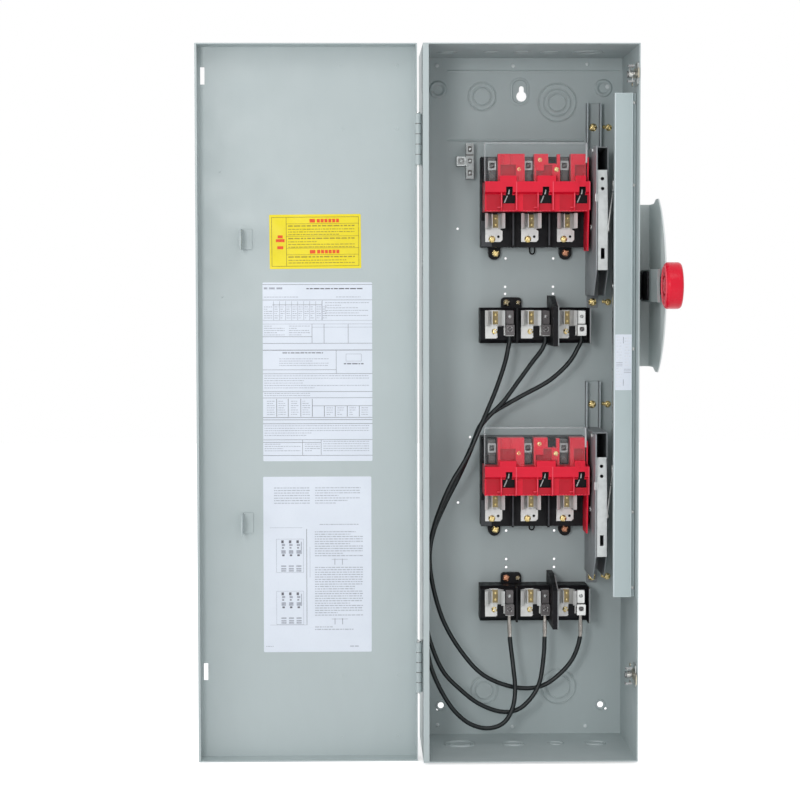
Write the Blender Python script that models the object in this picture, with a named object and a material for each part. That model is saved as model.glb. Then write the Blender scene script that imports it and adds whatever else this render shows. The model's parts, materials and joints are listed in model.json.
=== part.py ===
"""Double-throw fusible safety switch in a wall-hung steel box, its door swung wide open.

Metres, +Z up, +X to the right of someone facing the box, -Y toward them.
The origin is the middle of the box's back face, on the wall.
"""

import math

import bmesh
import bpy
from mathutils import Matrix, Vector

# ---------------------------------------------------------------- driving sizes
FIT = 0.0003                 # gap between pieces that touch

# Box
BOX_WIDTH = 0.300
BOX_HEIGHT = 1.000
BOX_DEPTH = 0.190
SHEET = 0.0016
LIP = 0.008                  # front return on the hinge side
MOUNT_SIDE = 0.0315          # corner mounting holes, from the box's sides and ends
MOUNT_END = 0.0445
MOUNT_RADIUS = 0.0045
KEYHOLE_DROP = 0.0572        # below the box's top
KEYHOLE_RADIUS = 0.0075
KEYHOLE_NECK = 0.0070
KEYHOLE_RISE = 0.0115

# Door, a flanged tray that closes over the box front
DOOR_SIDE_GAP = 0.0025
DOOR_END_GAP = 0.0008
DOOR_FACE_GAP = 0.0004
DOOR_FLANGE = 0.0346
DOOR_HEM = 0.0055            # doubled edge of the latch-side flange
DOOR_SWING = math.pi
SLOT_WIDTH = 0.006
SLOT_HEIGHT = 0.024
HOOK_DROPS = (0.058, 0.052)  # interlock hooks on the door, below the rotor axes
HOOK_X = 0.085
HOOK_DEPTH = 0.036
HOOK_WIDTH = 0.016
HOOK_HEIGHT = 0.028
HOOK_SHEET = 0.002
HOOK_CORNER = 0.0084
HOOK_BARB = 0.0042
HOOK_TIP_RISE = 0.0028
HOOK_HOLE_RADIUS = 0.0045
HOOK_HOLE_BACK = 0.010       # hole behind the tip

# Hinges
HINGE_INSET = 0.130          # hinge middles, from the box's ends
HINGE_OUT = 0.0058           # axis outside the box wall
HINGE_BACK = 0.029           # axis behind the box front
HINGE_LENGTH = 0.071
KNUCKLES = 5
KNUCKLE_RADIUS = 0.004
KNUCKLE_GAP = 0.0004
PIN_RADIUS = 0.0017
PIN_HEAD_RADIUS = 0.0029
LEAF = 0.0018
LEAF_WIDTH = 0.020
NOTCH_MARGIN = 0.0025        # flange cut-out round a hinge

# Latches
LATCH_INSETS = (0.040, 0.120) # from the box's top and bottom
LATCH_BRACKET = 0.0015
LATCH_PLATE = 0.0018
LATCH_PIVOT_BACK = 0.022     # pivot behind the box front
LATCH_REACH = 0.038
LATCH_TAIL = 0.016
LATCH_TAIL_DROP = 0.004
LATCH_TAIL_RISE = 0.006
LATCH_MIDDLE = 0.007         # half heights at the pivot and behind the nose
LATCH_NECK = 0.005
LATCH_NOSE = 0.009
LATCH_NOSE_SLOPE = 0.003
LATCH_THROAT = 0.011
LATCH_PIN_RADIUS = 0.002
LATCH_HEAD_RADIUS = 0.0036
LATCH_BRACKET_FRONT = 0.016  # from the pivot
LATCH_BRACKET_BACK = 0.014
LATCH_BRACKET_DROP = 0.017
LATCH_BRACKET_RISE = 0.015
LATCH_BRACKET_CORNER = 0.004

# Handle outside the right wall
HANDLE_Y = -0.091
HANDLE_DROP = 0.124          # below the upper rotor axis
HUB_RADIUS = 0.021
HUB_FLANGE_RADIUS = 0.0265
HUB_FLANGE = 0.003
HUB_LENGTH = 0.0154
HUB_ROUND = 0.002
HUB_FLANGE_ROUND = 0.001
SHAFT_RADIUS = 0.008
SHAFT_HEAD_RADIUS = 0.0064
LEVER_PLATE = 0.0035
LEVER_HEIGHT = 0.045
LEVER_SHORT = 0.0095         # round end's centre short of the grip's middle
GRIP_REACH = 0.190           # pivot to the middle of the grip
GRIP_RADIUS = 0.0315
GRIP_WIDTH = 0.0225
GRIP_ROUND = 0.0045
GRIP_RING = 0.0195           # radius of the dished face
GRIP_DISH = 0.0029
BOSS_RADIUS = 0.011
BOSS = 0.001
GUARD_PLATE = 0.002
GUARD_OUT = 0.0308           # left face of the guard, from the wall
GUARD_RADIUS = 0.133
GUARD_EAR = 0.122
GUARD_EAR_START = 0.012      # ears rise in front of the pivot, over this slope
GUARD_EAR_SLOPE = 0.020
GUARD_HALF = 0.1165
GUARD_BACK = 0.032           # viewer-facing flange, behind the pivot
GUARD_FOOT = 0.024

# Drive: crank on the handle shaft, sliding rod, two pivoted arms
CRANK_RADIUS = 0.016
CRANK_PLATE = 0.004
CRANK_PIN_RADIUS = 0.003
CRANK_EYE_RADIUS = 0.012
ROD_X = 0.123
ROD_PLATE = 0.003
ROD_WIDTH = 0.022
ROD_END = 0.012              # rod past its last pin
ROD_CORNER = 0.0066
ROD_SLOT = 0.0072
ROD_SLOT_CLEAR = 0.0011
ARM_PIVOT_Y = -0.080
ARM_PIVOT_DROP = 0.040       # arm pivot below the rotor axis
ARM_LEFT = 0.0973
ARM_WIDTH = 0.0142
ARM_SHEET = 0.0025
ARM_FRONT_Y = -0.138
ARM_BELOW = 0.062            # arm's strip below and above its pivot
ARM_ABOVE = 0.079
ARM_CREASE = 0.031
ARM_CHEEK_RISE = 0.0248
ARM_HEEL = 0.0128
ARM_HEEL_DEPTH = 0.0142
ARM_HOLES = (0.0125, 0.0265) # below the strip's top
ARM_HOLE_RADIUS = 0.0024
ARM_SLOT_WIDTH = 0.005
ARM_SLOT = (0.003, 0.018)    # above the heel
ARM_LEAN = 0.008
ARM_HUB_RADIUS = 0.009
ARM_PIN_RADIUS = 0.003
LINK_PLATE = 0.0018
LINK_WIDTH = 0.009
LINK_RISE = 0.067
LINK_RIVET_RADIUS = 0.0027
LINK_RIVET = 0.0011
LINK_SETBACK = 0.009         # lower eye behind the arm's front
LINK_LOW_DROP = 0.005        # lower eye below the arm pivot

# Mechanism frames and the cover over the rod
FRAME_LEFT = 0.0944
FRAME_WIDTH = 0.0211
FRAME_PLATE = 0.0018
FRAME_TOP = 0.142            # above the rotor axis
FRAME_BOTTOM = 0.138         # below it
FRAME_LOW = 0.020            # depth of the narrow top of the flanges
FRAME_LEFT_DEPTH = 0.142
FRAME_BEHIND_LINK = 0.0126   # right flange behind the links' lower eyes
FRAME_LID = 0.0735           # above the rotor axis, where the deep part ends in a lid
FRAME_LID_DROP = 0.0005
FRAME_CORNER = 0.004
FRAME_FOOT = 0.036
COVER_LEFT = 0.1176
COVER_RIGHT = 0.1430
COVER_ABOVE = 0.1439         # past the rotor axes
COVER_BELOW = 0.1556
COVER_Y = -0.165
COVER_SHEET = 0.0015
COVER_LEG = 0.012
COVER_STEP = 0.008

# Switches; a switch's own heights are from its rotor axis
SWITCH_DROP = 0.210          # upper rotor axis below the box's top
SWITCH_PITCH = 0.406         # lower rotor axis below the upper one
POLE_PITCH = 0.052
POLE_X = -0.043              # middle of the first pole's clips
POLES = 3
BLADE_OFFSET = 0.018         # blade and clip middles
LUG_OFFSET = -0.0045
LOAD_LUG_OFFSET = 0.022
BASE_LEFT = -0.061
BASE_RIGHT = 0.090
BASE_FRONT = -0.045
BASE_TOP_FRONT = -0.0425
BASE_TOP = 0.0625
BASE_BOTTOM = 0.068
EAR_DROP = 0.077             # screw ears below the axis
EAR_RADIUS = 0.009
EAR_LAP = 0.0016
EAR_FRONT = -0.012
ROTOR_Y = -0.058
ROTOR_RADIUS = 0.008
JOURNAL_RADIUS = 0.005
TROUGH_RADIUS = 0.018
CHEEK = 0.0038
CHEEK_INSET = 0.0042
CHEEK_RADIUS = 0.012
CHEEK_BACK = -0.036
BLADE = 0.0032
BLADE_WIDTH = 0.013
BLADE_REACH = 0.036
BLADE_OPEN = math.radians(60)
COLLAR_RADIUS = 0.011
COLLAR_WIDTH = 0.0054
BARRIER = 0.003
BARRIER_REACH = 0.016
BARRIER_BACK = -0.018
BARRIER_OFFSET = 0.027       # barrier past a clip's middle

# Red shield over the blades
WALL = 0.0022
HOOD_LEFT = -0.0595
HOOD_RIGHT = 0.0895
HOOD_TOP = 0.024
HOOD_BOTTOM = 0.018
HOOD_FRONT = -0.108
HOOD_RECESS = 0.009
HOOD_STEP = 0.006            # height where the recess ends
HOOD_SLOPE = 0.0032
HOOD_BACK = -0.064
TOWER_TOP = 0.064
TOWER_FRONT = -0.090
TOWER_SLOPE = 0.014
TOWER_LEFT = 0.003           # tower's left wall right of the clip's middle
TOWER_WIDTHS = (0.038, 0.031, 0.0211)
RIB = 0.0018
RIB_OFFSET = 0.006
SIDE_TOP = 0.059
SIDE_BOTTOM = 0.074
KEY_NARROW = 0.0094
KEY_WIDE = 0.0178
KEY_TOP = 0.0166
KEY_STEP = 0.005
KEY_BOTTOM = 0.007

# Clear shield over the line lugs
CLEAR_FRONT = -0.095
CLEAR_TOP = 0.0793
CLEAR_RIGHT = 0.0870
CLEAR_SHEET = 0.0016

# Line lugs with their jaws
LUG_WIDTH = 0.010
LUG_LOW = 0.038
LUG_HIGH = 0.060
LUG_DEPTH = 0.023
STRAP = 0.0025
STRAP_HIGH = 0.050
JAW = 0.0015
JAW_PLAY = 0.0004
JAW_LOW = 0.026
JAW_HIGH = 0.048
JAW_DEPTH = 0.024
WIRE_RADIUS = 0.0037

# Fuse clips
CLIP_Z = -0.0305             # middle of the switch-side clip, from the rotor axis
FUSE_LENGTH = 0.1397         # middle to middle of the two clips
CLIP_RADIUS = 0.0125
CLIP_SHEET = 0.0014
CLIP_LENGTH = 0.022
CLIP_OPEN = math.radians(52) # half of the mouth, and where the seat ends
CLIP_START = math.radians(62)
CLIP_LIP = 0.004
CLIP_FLARE = 0.0032
CLIP_STEM = 0.0045
TONGUE_LENGTH = 0.019
TONGUE_WIDTH = 0.025
LOAD_TONGUE_WIDTH = 0.019
TONGUE_CORNER = 0.003
TONGUE_HOLE = 0.002
TONGUE_HOLE_X = 0.0065
TONGUE_HOLE_RISE = 0.0076

# Load bases
LOAD_LEFT = -0.0625
LOAD_RIGHT = 0.095
LOAD_ABOVE = 0.0145          # from the load clips' middle
LOAD_BELOW = 0.0370
TAB_LEFT = -0.030
TAB_WIDTH = 0.030
TAB_RISE = 0.015
TAB_CORNER = 0.005
LOAD_EDGE = 0.005
TALL_BARRIER_FRONT = -0.108
TALL_BARRIER = 0.008
TALL_BARRIER_OFFSET = 0.0330
TALL_BARRIER_ABOVE = 0.032
TALL_BARRIER_BELOW = 0.040
TALL_BARRIER_SHOULDER = 0.016
TALL_BARRIER_TOP_FRONT = -0.054
END_BARRIER = 0.0022
END_BARRIER_REACH = 0.0288
LOAD_LUG_LOW = 0.026         # below the load clips' middle
LOAD_LUG_HIGH = 0.010
LOAD_LUG_DEPTH = 0.021
LOAD_LUG_MOUTH = 0.0116      # cable's middle in front of the seat
LOAD_LUG_WIDTH = 0.012

# Ground lugs
GROUND_X = -0.0765
GROUND_RISE = 0.0575         # above the upper rotor axis
GROUND_HALF = 0.0256
GROUND_WIDTH = 0.011
GROUND_DEPTH = 0.022
GROUND_SIDE = 0.0135
GROUND_SIDE_DEPTH = 0.0154
GROUND_WIRE_RADIUS = 0.0026
GROUND_WIRE_Z = 0.016        # wire holes above and below the middle

# Cables
CABLE_RADIUS = 0.00325
CABLE_STEP = 0.018
CABLE_LEAD = 0.008           # straight end below each lug

# ---------------------------------------------------------------- worked-out places
TOP_Z = BOX_HEIGHT / 2
INNER_X = BOX_WIDTH / 2 - SHEET
BACK_Y = -SHEET - FIT        # back of everything that stands on the back panel
FRONT_Y = -BOX_DEPTH
ROTOR_Z = {"upper": TOP_Z - SWITCH_DROP, "lower": TOP_Z - SWITCH_DROP - SWITCH_PITCH}
HANDLE_Z = ROTOR_Z["upper"] - HANDLE_DROP
HOOK_Z = {"upper": ROTOR_Z["upper"] - HOOK_DROPS[0], "lower": ROTOR_Z["lower"] - HOOK_DROPS[1]}
HINGE_Z = {"upper": TOP_Z - HINGE_INSET, "lower": HINGE_INSET - TOP_Z}
LATCH_Z = {"upper": TOP_Z - LATCH_INSETS[0], "lower": LATCH_INSETS[1] - TOP_Z}
HINGE_X = -BOX_WIDTH / 2 - HINGE_OUT
HINGE_Y = FRONT_Y + HINGE_BACK
DOOR_X = BOX_WIDTH / 2 + DOOR_SIDE_GAP + SHEET
DOOR_Z = TOP_Z + DOOR_END_GAP + SHEET
DOOR_INSIDE = FRONT_Y - DOOR_FACE_GAP
DOOR_OUTSIDE = DOOR_INSIDE - SHEET
DOOR_TIP = DOOR_OUTSIDE + DOOR_FLANGE
LATCH_X = INNER_X - FIT - LATCH_BRACKET - FIT - LATCH_PLATE / 2
WALL_X = BOX_WIDTH / 2 + FIT
LEVER_X = WALL_X + HUB_LENGTH + FIT
GRIP_X = LEVER_X + LEVER_PLATE + BOSS + FIT
CRANK_X = ROD_X + ROD_PLATE + FIT
SEAT_Y = BASE_FRONT - FIT    # metal parts on a base
LINK_LOW_X = ARM_LEFT + ARM_WIDTH + FIT
LINK_LOW_Y = ARM_FRONT_Y + LINK_SETBACK
FRAME_RIGHT_DEPTH = BACK_Y - LINK_LOW_Y - LINK_WIDTH / 2 - FRAME_BEHIND_LINK
LINK_HIGH_X = ROD_X - FIT - LINK_PLATE


# ---------------------------------------------------------------- shape tools
AXES = {"x": (1, 2, 0), "y": (0, 2, 1), "z": (0, 1, 2)}
QUARTER = math.pi / 2


def blank(mesh):
    """A scene object made from a bmesh, with its faces pointing out."""
    bmesh.ops.recalc_face_normals(mesh, faces=mesh.faces)
    data = bpy.data.meshes.new("blank")
    mesh.to_mesh(data)
    mesh.free()
    thing = bpy.data.objects.new("blank", data)
    bpy.context.scene.collection.objects.link(thing)
    return thing


def prism(outline, axis, low, high):
    """An outline pushed along an axis. Its points are the other two axes, in order."""
    first, second, along = AXES[axis]
    mesh = bmesh.new()
    rings = []
    for level in (low, high):
        ring = []
        for a, b in outline:
            place = [0.0, 0.0, 0.0]
            place[first] = a
            place[second] = b
            place[along] = level
            ring.append(mesh.verts.new(place))
        rings.append(ring)
        mesh.faces.new(ring)
    bottom, top = rings
    for index in range(len(bottom)):
        follow = (index + 1) % len(bottom)
        mesh.faces.new((bottom[index], bottom[follow], top[follow], top[index]))
    return blank(mesh)


def block(x_range, y_range, z_range):
    """A rectangular block between three pairs of limits."""
    x0, x1 = x_range
    y0, y1 = y_range
    return prism([(x0, y0), (x1, y0), (x1, y1), (x0, y1)], "z", *z_range)


def arc(centre, radius, start, end, steps):
    """Points along an arc, angles from the plane's first axis."""
    points = []
    for step in range(steps + 1):
        angle = start + (end - start) * step / steps
        points.append((centre[0] + radius * math.cos(angle), centre[1] + radius * math.sin(angle)))
    return points


def circle(centre, radius, steps):
    """A closed ring of points."""
    return arc(centre, radius, 0.0, 2 * math.pi, steps)[:-1]


def rod(axis, centre, radius, low, high, steps=12):
    """A round bar along an axis."""
    return prism(circle(centre, radius, steps), axis, low, high)


def rounded(outline, radius, steps=3):
    """An outline with each corner turned to a small arc."""
    points = []
    count = len(outline)
    for index, corner in enumerate(outline):
        here = Vector(corner)
        before = (Vector(outline[index - 1]) - here).normalized()
        after = (Vector(outline[(index + 1) % count]) - here).normalized()
        half = before.angle(after) / 2
        centre = here + (before + after).normalized() * (radius / math.sin(half))
        start = here + before * (radius / math.tan(half)) - centre
        turn = (math.pi - 2 * half) * (1 if before.cross(after) < 0 else -1)
        first = math.atan2(start.y, start.x)
        points += arc(centre, radius, first, first + turn, steps)
    return points


def slot_outline(start, end, radius, steps):
    """A stadium round two points."""
    heading = math.atan2(end[1] - start[1], end[0] - start[0])
    far = arc(end, radius, heading - QUARTER, heading + QUARTER, steps)
    near = arc(start, radius, heading + QUARTER, heading + 3 * QUARTER, steps)
    return far + near


def lathe(profile, axis, centre, steps=32):
    """A closed profile of (radius, height) turned round an axis."""
    first, second, along = AXES[axis]
    mesh = bmesh.new()
    rings = []
    for radius, height in profile:
        ring = []
        for a, b in circle(centre, radius, steps) if radius > 0 else [centre]:
            place = [0.0, 0.0, 0.0]
            place[first] = a
            place[second] = b
            place[along] = height
            ring.append(mesh.verts.new(place))
        rings.append(ring)
    for number, ring in enumerate(rings):
        other = rings[(number + 1) % len(rings)]
        for index in range(steps):
            follow = (index + 1) % steps
            if len(ring) == 1 and len(other) == 1:
                continue
            if len(ring) == 1:
                mesh.faces.new((ring[0], other[index], other[follow]))
            elif len(other) == 1:
                mesh.faces.new((ring[index], ring[follow], other[0]))
            else:
                mesh.faces.new((ring[index], ring[follow], other[follow], other[index]))
    return blank(mesh)


def boolean(target, tools, operation):
    """Apply exact Booleans one after the other and remove the tools."""
    for tool in tools:
        step = target.modifiers.new(operation, "BOOLEAN")
        step.operation = operation
        step.solver = "EXACT"
        step.object = tool
    graph = bpy.context.evaluated_depsgraph_get()
    result = bpy.data.meshes.new_from_object(target.evaluated_get(graph), depsgraph=graph)
    target.modifiers.clear()
    target.data = result
    for tool in tools:
        bpy.data.objects.remove(tool)
    return target


def unite(target, *tools):
    return boolean(target, tools, "UNION")


def cut(target, *tools):
    return boolean(target, tools, "DIFFERENCE")


def turned(thing, axis, centre, angle):
    """Turn a blank about a line along an axis through a point."""
    there = Matrix.Translation(Vector(centre))
    turn = Matrix.Rotation(angle, 4, axis.upper())
    thing.data.transform(there @ turn @ there.inverted())
    return thing


def pivot(name, place):
    """An empty on a joint's axis."""
    empty = bpy.data.objects.new(name, None)
    empty.empty_display_size = 0.02
    empty.location = place
    bpy.context.scene.collection.objects.link(empty)
    return empty


def material(name, colour, roughness, metallic=0.0, alpha=1.0):
    """A Principled material."""
    made = bpy.data.materials.new(name)
    made.use_nodes = True
    shader = made.node_tree.nodes["Principled BSDF"]
    shader.inputs["Base Color"].default_value = (*colour, 1.0)
    shader.inputs["Roughness"].default_value = roughness
    shader.inputs["Metallic"].default_value = metallic
    shader.inputs["Alpha"].default_value = alpha
    made.diffuse_color = (*colour, alpha)
    return made


def finish(thing, name, look, parent=None):
    """Name a blank, give it its own material and hang it on its pivot."""
    thing.name = name
    thing.data.name = name
    thing.data.materials.clear()
    thing.data.materials.append(material(name, *look))
    thing.data.shade_smooth()
    thing.data.set_sharp_from_angle(angle=math.radians(35))
    if parent:
        thing.data.transform(Matrix.Translation(-parent.location))
        thing.parent = parent
    return thing


PAINT = ((0.44, 0.50, 0.50), 0.45)
COVER_PAINT = ((0.40, 0.47, 0.48), 0.4)
DARK_PAINT = ((0.16, 0.19, 0.20), 0.5)
PLATED = ((0.62, 0.63, 0.62), 0.35, 1.0)
BRASS = ((0.62, 0.47, 0.22), 0.35, 1.0)
COPPER = ((0.66, 0.36, 0.22), 0.35, 1.0)
PHENOLIC = ((0.02, 0.02, 0.022), 0.5)
RED = ((0.66, 0.01, 0.035), 0.4)
CLEAR = ((0.85, 0.90, 0.92), 0.1, 0.0, 0.25)
RUBBER = ((0.012, 0.012, 0.014), 0.45)


# ---------------------------------------------------------------- box and door
def enclosure():
    half_x = BOX_WIDTH / 2
    half_z = TOP_Z
    mount_x = half_x - MOUNT_SIDE
    mount_z = half_z - MOUNT_END
    keyhole_z = half_z - KEYHOLE_DROP
    body = block((-half_x, half_x), (FRONT_Y, 0.0), (-half_z, half_z))
    room = block((-INNER_X, INNER_X), (FRONT_Y + SHEET, -SHEET), (SHEET - half_z, half_z - SHEET))
    mouth = block((LIP - half_x, INNER_X), (FRONT_Y - SHEET, -SHEET), (SHEET - half_z, half_z - SHEET))
    cut(body, room, mouth)
    through = (-2 * SHEET, SHEET)
    holes = [rod("y", (x, z), MOUNT_RADIUS, *through)
             for x in (-mount_x, mount_x) for z in (-mount_z, mount_z)]
    neck = slot_outline((0.0, keyhole_z), (0.0, keyhole_z + KEYHOLE_RISE), KEYHOLE_NECK / 2, 6)
    holes.append(prism(neck, "y", *through))
    holes.append(rod("y", (0.0, keyhole_z), KEYHOLE_RADIUS, *through))
    wall = (INNER_X - SHEET, half_x + SHEET)
    holes.append(rod("x", (HANDLE_Y, HANDLE_Z), SHAFT_RADIUS + 3 * FIT, *wall))
    cut(body, *holes)
    finish(body, "enclosure", PAINT)


def closed_to_open(thing):
    """Swing a piece modelled on the closed door to where the open door is."""
    return turned(thing, "z", (HINGE_X, HINGE_Y, 0.0), -DOOR_SWING)


def door(hinge):
    half_z = DOOR_Z
    tray = block((-DOOR_X, DOOR_X), (DOOR_OUTSIDE, DOOR_TIP), (-half_z, half_z))
    inside = block((SHEET - DOOR_X, DOOR_X - SHEET), (DOOR_INSIDE, DOOR_TIP + SHEET),
                   (SHEET - half_z, half_z - SHEET))
    cut(tray, inside)
    hem = block((DOOR_X - 2 * SHEET + FIT, DOOR_X - SHEET / 2), (DOOR_TIP - DOOR_HEM, DOOR_TIP),
                (SHEET - half_z, half_z - SHEET))
    unite(tray, hem)
    cuts = []
    for z in LATCH_Z.values():
        cuts.append(block((LATCH_X - SLOT_WIDTH / 2, LATCH_X + SLOT_WIDTH / 2),
                          (DOOR_OUTSIDE - SHEET, DOOR_INSIDE + SHEET),
                          (z - SLOT_HEIGHT / 2, z + SLOT_HEIGHT / 2)))
    reach = HINGE_LENGTH / 2 + NOTCH_MARGIN
    for z in HINGE_Z.values():
        cuts.append(block((-DOOR_X - SHEET, SHEET + SHEET / 2 - DOOR_X),
                          (HINGE_Y - KNUCKLE_RADIUS - NOTCH_MARGIN, DOOR_TIP + SHEET),
                          (z - reach, z + reach)))
    cut(tray, *cuts)
    finish(closed_to_open(tray), "door_panel", PAINT, hinge)


def interlock_hook(suffix, z, hinge):
    """A bent tab on the door with a hooked end, in line with a mechanism frame."""
    back = DOOR_INSIDE + FIT
    tip = back + HOOK_DEPTH
    low = z - HOOK_HEIGHT / 2
    high = z + HOOK_HEIGHT / 2
    side = [(back, low), (tip - HOOK_CORNER, low), (tip - HOOK_BARB, low - HOOK_BARB),
            (tip, low + HOOK_TIP_RISE), (tip, high - HOOK_CORNER), (tip - HOOK_CORNER, high), (back, high)]
    hook = prism(side, "x", HOOK_X + HOOK_WIDTH / 2 - HOOK_SHEET, HOOK_X + HOOK_WIDTH / 2)
    foot = block((HOOK_X - HOOK_WIDTH / 2, HOOK_X + HOOK_WIDTH / 2), (back, back + HOOK_SHEET), (low, high))
    unite(hook, foot)
    cut(hook, rod("x", (tip - HOOK_HOLE_BACK, z), HOOK_HOLE_RADIUS, HOOK_X, HOOK_X + HOOK_WIDTH))
    finish(closed_to_open(hook), "door_hook_" + suffix, PLATED, hinge)


def hinge(suffix, z, door_pivot):
    """Five-knuckle butt hinge: box leaf on knuckles 1, 3, 5, door leaf on 2, 4, and a pin."""
    axis = (HINGE_X, HINGE_Y)
    bottom = z - HINGE_LENGTH / 2
    pitch = HINGE_LENGTH / KNUCKLES
    wall = -BOX_WIDTH / 2 - FIT
    leaf_y = HINGE_Y + KNUCKLE_RADIUS + KNUCKLE_GAP
    box_leaf = block((wall - LEAF, wall), (leaf_y - LEAF / 2, leaf_y + LEAF_WIDTH),
                     (bottom, bottom + HINGE_LENGTH))
    inner = -(DOOR_X + FIT)
    leaf_end = HINGE_Y - KNUCKLE_RADIUS - KNUCKLE_GAP
    door_leaf = block((inner - LEAF, inner), (leaf_end - LEAF_WIDTH, leaf_end),
                      (bottom, bottom + HINGE_LENGTH))
    for number in range(KNUCKLES):
        low = bottom + pitch * number + KNUCKLE_GAP / 2
        high = low + pitch - KNUCKLE_GAP
        knuckle = rod("z", axis, KNUCKLE_RADIUS, low, high)
        if number % 2 == 0:
            curl = block((HINGE_X + LEAF / 2, wall - LEAF / 2),
                         (leaf_y - LEAF, leaf_y + LEAF / 3), (low, high))
            unite(box_leaf, knuckle, curl)
        else:
            curl = block((inner - LEAF, inner), (leaf_end - LEAF, HINGE_Y - KNUCKLE_RADIUS / 2), (low, high))
            unite(door_leaf, knuckle, curl)
    top = bottom + HINGE_LENGTH
    cut(box_leaf, rod("z", axis, PIN_RADIUS + FIT, bottom - LEAF, top + LEAF))
    cut(door_leaf, rod("z", axis, PIN_RADIUS + FIT, bottom - LEAF, top + LEAF))
    pin = rod("z", axis, PIN_RADIUS, bottom - LEAF, top + LEAF / 2)
    unite(pin, rod("z", axis, PIN_HEAD_RADIUS, top + FIT, top + LEAF))
    finish(box_leaf, "hinge_box_leaf_" + suffix, PAINT)
    finish(closed_to_open(door_leaf), "hinge_door_leaf_" + suffix, PAINT, door_pivot)
    finish(pin, "hinge_pin_" + suffix, PLATED)


def latch(suffix, z):
    """Bracket on the right wall and a pivoted plate whose nose reaches through the door."""
    pivot_y = FRONT_Y + LATCH_PIVOT_BACK
    right = INNER_X - FIT
    left = right - LATCH_BRACKET
    front = pivot_y - LATCH_BRACKET_FRONT
    back = pivot_y + LATCH_BRACKET_BACK
    low = z - LATCH_BRACKET_DROP
    high = z + LATCH_BRACKET_RISE
    outline = rounded([(front, low), (back, low), (back, high), (front, high)], LATCH_BRACKET_CORNER)
    bracket = prism(outline, "x", left, right)
    plate_left = LATCH_X - LATCH_PLATE / 2
    head_left = plate_left - LATCH_BRACKET
    unite(bracket, rod("x", (pivot_y, z), LATCH_PIN_RADIUS, head_left, right - FIT),
          rod("x", (pivot_y, z), LATCH_HEAD_RADIUS, head_left, plate_left - FIT))
    finish(bracket, "latch_bracket_" + suffix, PLATED)

    nose = pivot_y - LATCH_REACH
    tail = pivot_y + LATCH_TAIL
    throat = nose + LATCH_THROAT
    side = [(nose, z - LATCH_NOSE), (nose + LATCH_NOSE, z - LATCH_NOSE), (throat, z - LATCH_NECK),
            (pivot_y, z - LATCH_MIDDLE), (tail, z - LATCH_TAIL_DROP), (tail, z + LATCH_TAIL_RISE),
            (pivot_y, z + LATCH_MIDDLE), (throat, z + LATCH_NECK), (nose + LATCH_NOSE_SLOPE, z + LATCH_NECK),
            (nose, z + LATCH_NECK - LATCH_NOSE_SLOPE)]
    plate = prism(side, "x", plate_left, plate_left + LATCH_PLATE)
    cut(plate, rod("x", (pivot_y, z), LATCH_PIN_RADIUS + FIT, head_left, right))
    post = pivot("latch_pivot_" + suffix, (LATCH_X, pivot_y, z))
    finish(plate, "latch_plate_" + suffix, BRASS, post)


# ---------------------------------------------------------------- handle and drive
def handle_guard():
    """A D-shaped plate beside the handle on a stepped foot that bolts to the wall."""
    left = BOX_WIDTH / 2 + GUARD_OUT
    right = left + GUARD_PLATE
    back = HANDLE_Y + GUARD_BACK
    sweep = math.asin(GUARD_EAR / GUARD_RADIUS)
    front = arc((HANDLE_Y, HANDLE_Z), GUARD_RADIUS, math.pi - sweep, math.pi + sweep, 26)
    ear_start = HANDLE_Y - GUARD_EAR_START
    ear_y = ear_start - GUARD_EAR_SLOPE
    high = HANDLE_Z + GUARD_HALF
    low = HANDLE_Z - GUARD_HALF
    outline = [(back, high), (ear_start, high), (ear_y, HANDLE_Z + GUARD_EAR)]
    outline += front
    outline += [(ear_y, HANDLE_Z - GUARD_EAR), (ear_start, low), (back, low)]
    plate = prism(outline, "x", left, right)
    step = [(right, back - GUARD_PLATE), (right, back), (WALL_X + GUARD_PLATE, back),
            (WALL_X + GUARD_PLATE, back + GUARD_FOOT), (WALL_X, back + GUARD_FOOT),
            (WALL_X, back - GUARD_PLATE)]
    foot = prism(step, "z", low, high)
    unite(plate, foot)
    finish(plate, "handle_guard", DARK_PAINT)


def handle_hub():
    """Bearing housing on the wall with a bore for the shaft."""
    bore = SHAFT_RADIUS + FIT
    left = WALL_X
    right = WALL_X + HUB_LENGTH
    flange = left + HUB_FLANGE
    profile = [(bore, left), (HUB_FLANGE_RADIUS, left), (HUB_FLANGE_RADIUS, flange - HUB_FLANGE_ROUND),
               (HUB_FLANGE_RADIUS - HUB_FLANGE_ROUND, flange), (HUB_RADIUS, flange),
               (HUB_RADIUS, right - HUB_ROUND), (HUB_RADIUS - HUB_ROUND, right), (bore, right)]
    hub = lathe(profile, "x", (HANDLE_Y, HANDLE_Z), 20)
    finish(hub, "handle_hub", PHENOLIC)


def handle_lever(post):
    """Flat steel bar from the shaft to the grip, with the boss that the grip stands on."""
    grip = (HANDLE_Y - GRIP_REACH, HANDLE_Z)
    end = (grip[0] + LEVER_SHORT, HANDLE_Z)
    outline = slot_outline((HANDLE_Y, HANDLE_Z), end, LEVER_HEIGHT / 2, 12)
    right = LEVER_X + LEVER_PLATE
    bar = prism(outline, "x", LEVER_X, right)
    middle = LEVER_X + LEVER_PLATE / 2
    unite(bar, rod("x", grip, BOSS_RADIUS, middle, GRIP_X - FIT),
          rod("x", (HANDLE_Y, HANDLE_Z), SHAFT_HEAD_RADIUS, middle, right + BOSS))
    finish(bar, "handle_lever", PLATED, post)


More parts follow.
